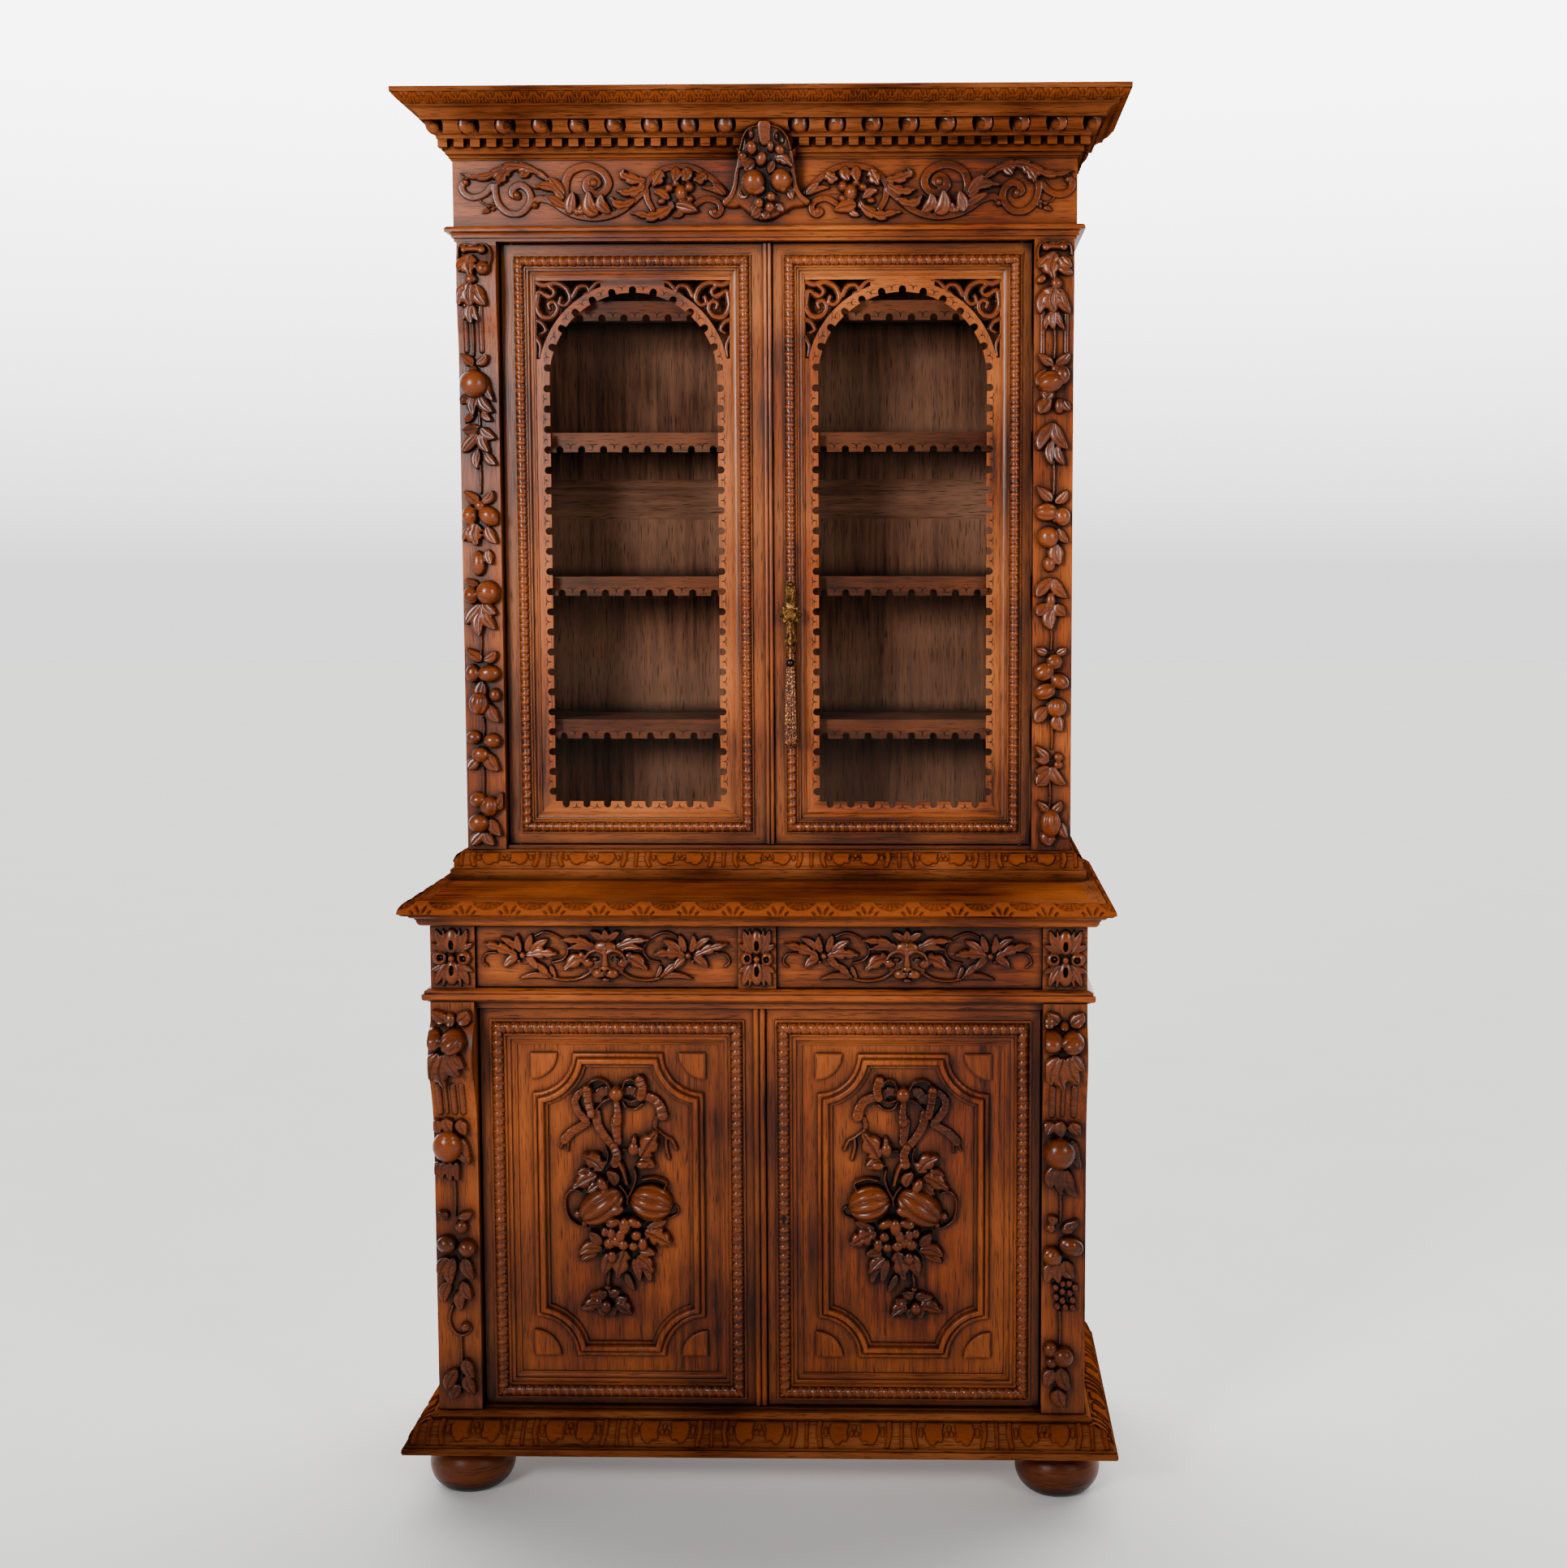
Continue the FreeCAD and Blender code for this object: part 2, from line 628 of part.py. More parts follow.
def scallops(label, thick, front, spots):
    """U-shaped notches to be sawn out of an edge. Each spot gives where the notch's line meets the
    edge and the angle that the notch points to, turned from straight up towards +X."""
    eye = rod(f"{label}_eye", "notch_radius", thick, 0, 0, "notch_depth", TO_BACK)
    throat = board(f"{label}_throat", ("-notch_radius", "notch_radius"), (0, thick),
                   ("-notch_depth", "notch_depth"))
    notches = []
    for count, (x, z, angle) in enumerate(spots):
        notch = combine("Part::Fuse", f"{label}_{count}", eye, throat)
        notches.append(place(notch, x, front, z, Rotation(Vector(0, 1, 0), angle)))
    return compound(label, notches)


shelves = []
lips = []
SHELF_X = ("-(up_half - side_board - shelf_end_gap)", "up_half - side_board - shelf_end_gap")
lip_half = dims.up_half - dims.side_board - dims.shelf_end_gap
notch_count = int(2 * lip_half / dims.lip_notch_pitch)
for level, top in enumerate(SHELF_TOPS, start=1):
    shelves.append(board(f"shelf_{level}", SHELF_X, ("shelf_front", "back_y - back_board"),
                         (f"{top} - shelf_thick", top)))
    lip = board(f"lip_{level}_blank", SHELF_X, ("shelf_front - lip_thick", "shelf_front"),
                (f"{top} - lip_height", top))
    spots = [(f"({count} - {(notch_count - 1) / 2}) * lip_notch_pitch", f"{top} - lip_height", 0)
             for count in range(notch_count)]
    notches = scallops(f"lip_{level}_notches", "lip_thick", "shelf_front - lip_thick", spots)
    lips.append(cut(f"lip_{level}", lip, notches))
node("upper_shelves", *shelves)
node("shelf_lips", *lips)

# Frieze, cornice and carved cartouche
node("frieze",
     board("frieze_front_board", ("-frieze_half", "frieze_half"),
           ("frieze_front", "frieze_front + frieze_board"), ("head_top", "frieze_top")),
     *(board(f"frieze_return_{side}", mirrored(way, "frieze_half - frieze_board", "frieze_half"),
             ("frieze_front + frieze_board", "back_y"), ("head_top", "frieze_top"))
       for side, way in (("left", -1), ("right", 1))))
cornice_section = section(
    "cornice_section", dims.frieze_board, dims.cornice_reach, dims.frieze_top, dims.total_height, [
        (0.03, 0), (0.03, 0.03), (0.06, 0.03), (0.06, 0.08), (0.12, 0.09), (0.12, 0.31), (0.26, 0.31),
        (0.26, 0.37), ((0.40, 0.44), (0.46, 0.565)), (0.53, 0.565), (0.53, 0.625),
        ((0.60, 0.69), (0.72, 0.735)), (0.76, 0.735), (0.76, 0.775), ((0.86, 0.83), (0.97, 0.92)),
        (1.0, 0.92), (1.0, 1.0)])
EGG_STEPS = {"front": 18, "return": 4}
TOOTH_STEPS = {"front": 39, "return": 9}


def course(out, steps, length, start, end):
    """Places of a repeated motif along a cornice bar. The motif nearest a mitre stands on it, the
    returns keep the front's pitch, and the front leaves out what the cartouche would hide."""
    pitch = f"(2 * (frieze_half - frieze_board) + 2 * ({out})) / {steps['front']}"
    first = f"-({out})" if start else f"({length}) + ({out})"
    way = 1 if start else -1
    count = steps["front" if start and end else "return"]
    shown = [step for step in range(count + 1) if not (start and end and abs(step - count / 2) < 1)]
    return [f"{first} + {way * step} * {pitch}" for step in shown]


def eggs_and_teeth(name, bar, length, start, end):
    """Cornice bar with an egg in each of a row of round sockets, and teeth on its dentil course."""
    eggs, rounds, teeth = [], [], []
    deep = "cornice_reach / 4"
    socket_y = "-(frieze_board + socket_out)"
    egg_out = "frieze_board + egg_out"
    tooth_out = "frieze_board + tooth_out - tooth_width / 2"
    for count, x in enumerate(course(egg_out, EGG_STEPS, length, start, end)):
        egg = doc.addObject("Part::Sphere", f"{name}_egg_{count}")
        bind(egg, "Radius", "egg_radius")
        eggs.append(place(egg, x, f"-({egg_out})", "egg_z"))
        rounds.append(rod(
            f"{name}_round_{count}", "socket_radius", deep, x, f"{socket_y} - {deep}", "egg_z", TO_BACK))
    level = board(f"{name}_socket_level", (f"-2 * ({egg_out})", f"({length}) + 2 * ({egg_out})"),
                  (f"{socket_y} - {deep}", socket_y), ("egg_z - socket_radius", "socket_top"))
    sockets = combine("Part::Common", f"{name}_sockets", compound(f"{name}_rounds", rounds), level)
    for count, x in enumerate(course(tooth_out, TOOTH_STEPS, length, start, end)):
        teeth.append(board(f"{name}_tooth_{count}", (f"{x} - tooth_width / 2", f"{x} + tooth_width / 2"),
                           ("-(frieze_board + tooth_out)", "-(frieze_board + tooth_out / 3)"),
                           ("tooth_low", "tooth_high")))
    hollowed = cut(f"{name}_hollowed", bar, sockets)
    egged = combine("Part::Fuse", f"{name}_egged", hollowed, compound(f"{name}_eggs", eggs))
    return combine("Part::Fuse", f"{name}_toothed", egged, compound(f"{name}_teeth", teeth))


cornice = around_case("cornice", cornice_section, "frieze_half - frieze_board", "frieze_front + frieze_board",
                      "frieze_board + cornice_reach", eggs_and_teeth)
node("cornice", *cornice)


def cartouche_point(point):
    width = dims.cartouche_width
    height = dims.cartouche_high - dims.cartouche_low
    x = dims.cartouche_x + point[0] * width
    return Vector(x, dims.frieze_front, dims.cartouche_low + point[1] * height)


shield = doc.addObject("Part::Feature", "shield_outline")
shield.Shape = outline_face([
    (0, 0), ((0.15, 0.04), (0.27, 0.13)), ((0.38, 0.14), (0.50, 0.19)), ((0.36, 0.30), (0.30, 0.60)),
    (0.27, 0.80), ((0, 1.0), (-0.27, 0.80)), (-0.30, 0.60), ((-0.36, 0.30), (-0.50, 0.19)),
    ((-0.38, 0.14), (-0.27, 0.13)), ((-0.15, 0.04), (0, 0)),
    ], cartouche_point)
shield_block = doc.addObject("Part::Extrusion", "shield_block")
shield_block.Base = shield
shield_block.DirMode = "Custom"
shield_block.Dir = Vector(0, -1, 0)
shield_block.Solid = True
bind(shield_block, "LengthFwd", "cartouche_reach")
node("frieze_cartouche", cut("cartouche", shield_block, cornice[0]))

# Doors
node("door_pivots", *(pins[side, end] for pins in (low_pins, up_pins)
                      for side in ("left", "right") for end in ("low", "high")))


def door_frame(label, case, side, centre, pins, pocket):
    """Four members of a door: hinge stile drilled for its pivots, meeting stile and two rails."""
    face = f"{case}_door_face"
    depth = (face, f"{face} + {case}_door_depth")
    low, high = f"{case}_door_low", f"{case}_door_high"
    opening = f"({case}_moulding_half - {case}_moulding_step)"
    open_left, open_right = f"{centre} - {opening}", f"{centre} + {opening}"
    outer = f"{case}_door_outer"
    edges = (f"-{outer}", "meeting_left") if side == "left" else ("meeting_right", outer)
    stiles = {
        "left": board(f"{label}_stile_left", (edges[0], open_left), depth, (low, high)),
        "right": board(f"{label}_stile_right", (open_right, edges[1]), depth, (low, high)),
    }
    meeting = "right" if side == "left" else "left"
    pin_holes = compound(f"{label}_pin_holes", [pins[side, "low", "hole"], pins[side, "high", "hole"]])
    hung = cut(f"{label}_hinge_stile", stiles[side], pin_holes)
    closing = cut(f"{label}_meeting_stile", stiles[meeting], *pocket)
    rail_x = (open_left, open_right)
    top = board(f"{label}_top_rail", rail_x, depth, (f"{case}_moulding_high - {case}_moulding_step", high))
    bottom = board(f"{label}_bottom_rail", rail_x, depth,
                   (low, f"{case}_moulding_low + {case}_moulding_step"))
    return node(f"{label}_frame", hung, closing, top, bottom)


def door_moulding_section(case, sink, shelf):
    """Door moulding lying on its back: u runs inwards over the frame, h up from the door's face. A
    carved bead stands between two fillets, and steps lead down into the opening. The shelf gives
    the fraction of the width where the upper step ends."""
    width = dims.get(f"{case}_moulding_width")
    step = dims.get(f"{case}_moulding_step")
    rise = dims.moulding_rise

    def to_space(point):
        return Vector(0, -point[0] * width, point[1])
    frame_edge = step / width
    shape = [
        (0, 0), (0, 0.35 * rise), (0.08, 0.35 * rise), (0.08, 0.20 * rise), (0.12, 0.20 * rise),
        ((0.31, rise), (0.50, 0.30 * rise)), (0.54, 0.30 * rise), (0.54, 0.45 * rise),
        (0.62, 0.45 * rise), (0.66, 0.10 * rise), (shelf, 0.10 * rise), (shelf, -0.35 * sink),
        ((0.5 * (shelf + 0.94), -0.45 * sink), (0.94, -0.75 * sink)), (1.0, -0.75 * sink),
        (1.0, -sink), (frame_edge, -sink), (frame_edge, 0)]
    piece = doc.addObject("Part::Feature", f"{case}_door_moulding_section")
    piece.Shape = outline_face(shape, to_space)
    return piece


def astragal(label, case, width):
    """Two reeds standing over the gap between a pair of doors, fixed to the left one."""
    def to_space(point):
        return Vector(point[0] * dims.get(width), -point[1] * dims.astragal_rise, 0)
    profile = doc.addObject("Part::Feature", f"{label}_section")
    profile.Shape = outline_face([
        (0, 0), (0, 0.55), ((0.25, 1.0), (0.5, 0.55)), ((0.75, 1.0), (1.0, 0.55)), (1.0, 0)], to_space)
    strip = doc.addObject("Part::Extrusion", f"{label}_strip")
    strip.Base = profile
    strip.DirMode = "Custom"
    strip.Dir = Vector(0, 0, 1)
    strip.Solid = True
    bind(strip, "LengthFwd", f"{case}_door_high - {case}_door_low")
    return node(label, place(strip, f"meeting_left - {width}", f"{case}_door_face", f"{case}_door_low"))


def lock(case, key_x, key_z):
    """Mortise lock in the right door's meeting stile: case, bolt, and the hollows they need."""
    back = f"({case}_door_face + {case}_door_depth)"
    case_x = ("meeting_right", f"{key_x} + bit_reach")
    case_y = (f"{back} - lock_depth", back)
    blank = board(f"{case}_lock_blank", case_x, case_y,
                  (f"{key_z} - lock_half_height", f"{key_z} + lock_half_height"))
    key_hole = rod(f"{case}_key_hole", "key_radius + key_clearance", f"{case}_door_depth + moulding_rise",
                   key_x, f"{case}_door_face - 2 * moulding_rise", key_z, TO_BACK)
    cavity = rod(f"{case}_key_cavity", "bit_reach - lock_wall / 2", "lock_depth - 2 * lock_wall", key_x,
                 f"{back} - lock_depth + lock_wall", key_z, TO_BACK)
    bolt_x = ("meeting_right + lock_wall", "meeting_right + lock_wall + bolt_length")
    bolt_y = (f"{back} - lock_depth + 1.5 * lock_wall", f"{back} - 1.5 * lock_wall")
    bolt_z = (f"{key_z} + bolt_low", f"{key_z} + bolt_low + bolt_height")
    slot_y = (f"{bolt_y[0]} - bolt_gap", f"{bolt_y[1]} + bolt_gap")
    slot_z = (f"{bolt_z[0]} - bolt_gap", f"{bolt_z[1]} + bolt_gap")
    slot = board(f"{case}_bolt_slot", ("meeting_right", f"{bolt_x[1]} + bolt_gap"), slot_y, slot_z)
    mortise = board(f"{case}_bolt_mortise", ("meeting_left - bolt_throw", "meeting_left"), slot_y, slot_z)
    word = {"up": "upper", "low": "lower"}[case]
    node(f"{word}_lock_case", cut(f"{case}_lock_body", blank, cavity, slot, key_hole))
    node(f"{word}_lock_bolt", board(f"{case}_bolt", bolt_x, bolt_y, bolt_z))
    return blank, key_hole, mortise


astragal("upper_astragal", "up", "astragal_width")
astragal("lower_astragal", "low", "low_astragal_width")
up_lock_blank, up_key_hole, up_mortise = lock("up", "key_x", "key_z")
low_lock_blank, low_key_hole, low_mortise = lock("low", "low_key_x", "low_key_z")
up_door_section = door_moulding_section("up", dims.moulding_sink, 0.74)
low_door_section = door_moulding_section("low", dims.low_moulding_sink, 0.78)


def fretwork(label, centre):
    """Pierced plate behind the glazed door's moulding: a round arch on straight strips, scalloped
    along its inner edge, and open in the two corners over the arch."""
    depth = ("up_door_face + moulding_sink", "up_door_face + moulding_sink + fret_thick")
    front = depth[0]
    opening = "(up_moulding_half - up_moulding_step)"
    plate = board(f"{label}_plate", (f"{centre} - {opening}", f"{centre} + {opening}"), depth,
                  ("up_moulding_low + up_moulding_step", "up_moulding_high - up_moulding_step"))
    bay = board(f"{label}_bay", (f"{centre} - arch_inner", f"{centre} + arch_inner"), depth,
                ("strip_low", "arch_spring"))
    arch = rod(f"{label}_arch", "arch_inner", "fret_thick", centre, front, "arch_spring", TO_BACK)
    crown = rod(f"{label}_crown", "arch_outer", "fret_thick", centre, front, "arch_spring", TO_BACK)
    corners = []
    for side, low, high in (("left", "-sight_half", "-arch_outer / 3"),
                            ("right", "arch_outer / 3", "sight_half")):
        corner = board(f"{label}_{side}_corner_box", (f"{centre} + {low}", f"{centre} + {high}"), depth,
                       ("arch_spring + arch_outer / 5", "sight_high"))
        corners.append(cut(f"{label}_{side}_corner", corner, crown))
    spots = []
    pitch = dims.fret_notch_pitch
    upright = dims.arch_spring - dims.strip_low
    rows = int(upright / pitch)
    for row in range(rows):
        z = f"strip_low + {row + 0.5} * (arch_spring - strip_low) / {rows}"
        spots.append((f"{centre} - arch_inner", z, -90))
        spots.append((f"{centre} + arch_inner", z, 90))
    columns = int(2 * dims.arch_inner / pitch)
    for column in range(columns):
        spots.append((f"{centre} + arch_inner * ({2 * column + 1 - columns}) / {columns}", "strip_low", 180))
    turns = round(3.14159 * dims.arch_inner / pitch)
    for turn in range(turns):
        angle = 180 * (turn + 0.5) / turns
        spots.append((f"{centre} + arch_inner * cos({angle} deg)",
                      f"arch_spring + arch_inner * sin({angle} deg)", 90 - angle))
    notches = scallops(f"{label}_notches", "fret_thick", front, spots)
    over_arch = compound(f"{label}_corners", corners)
    return node(label, cut(f"{label}_pierced", plate, bay, arch, over_arch, notches))


for side, pocket in (("left", [up_mortise]), ("right", [up_lock_blank, up_key_hole])):
    label = f"upper_{side}_door"
    centre = f"up_{side}_centre"
    door_frame(label, "up", side, centre, up_pins, pocket)
    members = around_door(f"{label}_moulding", up_door_section, centre, "up_moulding_half",
                          "up_moulding_low", "up_moulding_high", "up_door_face", "up_moulding_width")
    if side == "right":
        members["left"] = cut(f"{label}_moulding_drilled", members["left"], up_key_hole)
    node(f"{label}_moulding", *members.values())
    fretwork(f"{label}_fretwork", centre)
    pane = "(up_moulding_half - up_moulding_step)"
    glass_front = "up_door_face + moulding_sink + fret_thick"
    node(f"{label}_glass", board(
        f"{label}_pane", (f"{centre} - {pane}", f"{centre} + {pane}"),
        (glass_front, f"{glass_front} + glass_thick"),
        ("up_moulding_low + up_moulding_step", "up_moulding_high - up_moulding_step")))


PANEL_FACE = "low_door_face + low_moulding_sink"


def panel_field(label, centre):
    """Raised eight-sided moulding on a door panel: a bead, a higher roll and a low fillet, one inside
    the other. Its four corners are hollow rounds."""
    rings = []
    for name, start, stop in (("bead", "0", "field_bead"), ("roll", "field_bead", "field_roll"),
                              ("band", "field_roll", "field_band")):
        rise = f"field_{name}_rise"
        front = f"{PANEL_FACE} - {rise}"
        shapes = []
        for edge, inset in (("outer", start), ("inner", stop)):
            piece = f"{label}_{name}_{edge}"
            half = f"(field_half - {inset})"
            blank = board(f"{piece}_blank", (f"{centre} - {half}", f"{centre} + {half}"), (front, PANEL_FACE),
                          (f"field_low + {inset}", f"field_high - {inset}"))
            rounds = compound(f"{piece}_rounds", [
                rod(f"{piece}_{x_way}_{level}", f"field_corner + {inset}", rise,
                    f"{centre} {x_way} field_half", front, level, TO_BACK)
                for x_way in "-+" for level in ("field_low", "field_high")])
            shapes.append(cut(piece, blank, rounds))
        rings.append(cut(f"{label}_{name}", *shapes))
    moulding = doc.addObject("Part::MultiFuse", f"{label}_field")
    moulding.Shapes = rings
    return moulding


def corner_tablets(label, centre):
    """Quarter rounds in the corners of a door panel, each with a rim round a sunk middle."""
    quarter = rod(f"{label}_quarter", "tablet_radius", "tablet_rise", 0, 0, 0)
    middle = rod(f"{label}_quarter_middle", "tablet_radius - tablet_rim", "tablet_sink", 0, 0,
                 "tablet_rise - tablet_sink")
    quarter.Angle = 90
    middle.Angle = 90
    side = ("tablet_rim", "tablet_radius")
    square = board(f"{label}_quarter_square", side, side, ("0", "tablet_rise"))
    sunk = combine("Part::Common", f"{label}_quarter_sunk", middle, square)
    out = "(field_half + tablet_out)"
    tablets = []
    for x_way, z, angle in (("-", "field_low", 0), ("+", "field_low", 90),
                            ("+", "field_high", 180), ("-", "field_high", 270)):
        tablet = combine("Part::Cut", f"{label}_tablet_{angle}", quarter, sunk)
        turn = Rotation(Vector(0, 1, 0), -angle).multiply(Rotation(Vector(1, 0, 0), 90))
        tablets.append(place(tablet, f"{centre} {x_way} {out}", PANEL_FACE, z, turn))
    return tablets


for side, pocket in (("left", [low_mortise]), ("right", [low_lock_blank, low_key_hole])):
    label = f"lower_{side}_door"
    centre = f"low_{side}_centre"
    door_frame(label, "low", side, centre, low_pins, pocket)
    members = around_door(f"{label}_moulding", low_door_section, centre, "low_moulding_half",
                          "low_moulding_low", "low_moulding_high", "low_door_face", "low_moulding_width")
    if side == "right":
        members["left"] = cut(f"{label}_moulding_drilled", members["left"], low_key_hole)
    node(f"{label}_moulding", *members.values())
    opening = "(low_moulding_half - low_moulding_step)"
    sheet = board(f"{label}_board", (f"{centre} - {opening}", f"{centre} + {opening}"),
                  (PANEL_FACE, f"{PANEL_FACE} + panel_thick"),
                  ("low_moulding_low + low_moulding_step", "low_moulding_high - low_moulding_step"))
    node(f"{label}_panel", sheet, panel_field(label, centre), *corner_tablets(label, centre))

# Escutcheon, key and tassel on the upper right door
plate_y = ("up_door_face - moulding_rise - plate_thick", "up_door_face - moulding_rise")
rosette = rod("rosette", "rosette_radius", "plate_thick", "key_x", plate_y[0], "key_z", TO_BACK)
back_plate = board("back_plate", ("key_x - plate_half_width", "key_x + plate_half_width"), plate_y,
                   ("plate_low", "plate_high"))
escutcheon_blank = combine("Part::Fuse", "escutcheon_blank", rosette, back_plate)
node("key_escutcheon", cut("escutcheon", escutcheon_blank, up_key_hole))

shank = rod("key_shank", "key_radius", "key_back_y - bow_y", "key_x", "bow_y", "key_z", TO_BACK)
bow = doc.addObject("Part::Torus", "key_bow")
bind(bow, "Radius1", "bow_radius")
bind(bow, "Radius2", "bow_wire")
place(bow, "key_x", "bow_y", "key_z", TO_BACK)
bow_disc = rod("key_bow_disc", "bow_radius", "bow_wire", "key_x", "bow_y - bow_wire / 2", "key_z", TO_BACK)
bit = board("key_bit", ("key_x - bit_thick / 2", "key_x + bit_thick / 2"),
            ("key_back_y - bit_width", "key_back_y"), ("key_z - bit_reach + lock_wall", "key_z"))
key = doc.addObject("Part::MultiFuse", "key_union")
key.Shapes = [shank, bow, bow_disc, bit]
node("key", key)

bead_top = "bead_z + bead_flat"
node("tassel_cord", rod("cord", "cord_radius", f"cord_top - ({bead_top})", "key_x", "bow_y", bead_top))
bead = doc.addObject("Part::Sphere", "bead")
bind(bead, "Radius", "bead_radius")
place(bead, "key_x", "bow_y", "bead_z")
above = board("above_bead", ("key_x - bead_radius", "key_x + bead_radius"),
              ("bow_y - bead_radius", "bow_y + bead_radius"), (bead_top, f"{bead_top} + bead_radius"))
skirt = doc.addObject("Part::Cone", "skirt")
bind(skirt, "Radius1", "skirt_low_radius")
bind(skirt, "Radius2", "skirt_top_radius")
bind(skirt, "Height", "bead_z - bead_flat / 2 - skirt_low")
place(skirt, "key_x", "bow_y", "skirt_low")
node("tassel", combine("Part::Fuse", "tassel_union", cut("bead_flattened", bead, above), skirt))

# Every object must be sound before its solid is written
doc.recompute()
faults = [item.Label for item in doc.Objects if "Invalid" in item.State or "Error" in item.State]
if faults:
    raise RuntimeError(f"objects that did not build: {faults}")
os.makedirs("parts", exist_ok=True)
for piece in NODES:
    shape = piece.Shape
    if shape.isNull() or not shape.isValid() or not shape.Solids:
        raise RuntimeError(f"{piece.Label} has no sound solid")
    shape.exportStep(f"parts/{piece.Label}.step")
print(f"{len(NODES)} sub-parts written")
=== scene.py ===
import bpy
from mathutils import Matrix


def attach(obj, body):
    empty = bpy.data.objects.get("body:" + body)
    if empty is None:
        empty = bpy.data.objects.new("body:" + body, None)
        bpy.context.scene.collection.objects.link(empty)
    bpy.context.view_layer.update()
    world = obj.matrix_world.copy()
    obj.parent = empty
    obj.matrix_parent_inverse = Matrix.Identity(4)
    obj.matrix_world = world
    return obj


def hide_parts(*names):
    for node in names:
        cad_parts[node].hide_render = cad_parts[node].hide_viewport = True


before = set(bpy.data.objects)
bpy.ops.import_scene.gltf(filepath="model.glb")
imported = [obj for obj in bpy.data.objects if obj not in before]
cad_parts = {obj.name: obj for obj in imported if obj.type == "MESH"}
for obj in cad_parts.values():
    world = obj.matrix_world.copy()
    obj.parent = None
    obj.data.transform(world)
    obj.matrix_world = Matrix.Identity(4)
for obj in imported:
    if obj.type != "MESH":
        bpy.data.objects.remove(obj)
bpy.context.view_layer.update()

import copy

import bpy
import numpy as np
from mathutils import Matrix, Vector

# Bun feet: four flattened balls turned from solid oak, stained as dark as the base they carry, each
# with a groove and a short neck that stands under the lower case.


def linear(code):
    """A colour written as sRGB hex, as the linear RGBA that a shader works in."""
    channel = np.array([int(code[i:i + 2], 16) for i in (1, 3, 5)]) / 255
    curved = ((channel + 0.055) / 1.055) ** 2.4
    return (*np.where(channel > 0.04045, curved, channel / 12.92), 1.0)


def add(tree, kind, inputs=(), **settings):
    """Adds one shader node. Settings are its properties; inputs give each socket a value, or the
    output of an earlier node to link to it."""
    node = tree.nodes.new("ShaderNode" + kind)
    for setting, value in settings.items():
        setattr(node, setting, value)
    for socket, value in dict(inputs).items():
        if isinstance(value, bpy.types.NodeSocket):
            tree.links.new(value, node.inputs[socket])
        else:
            node.inputs[socket].default_value = value
    return node


def new_material(name):
    """An empty node material and its tree."""
    material = bpy.data.materials.new(name)
    material.use_nodes = True
    material.node_tree.nodes.clear()
    return material, material.node_tree


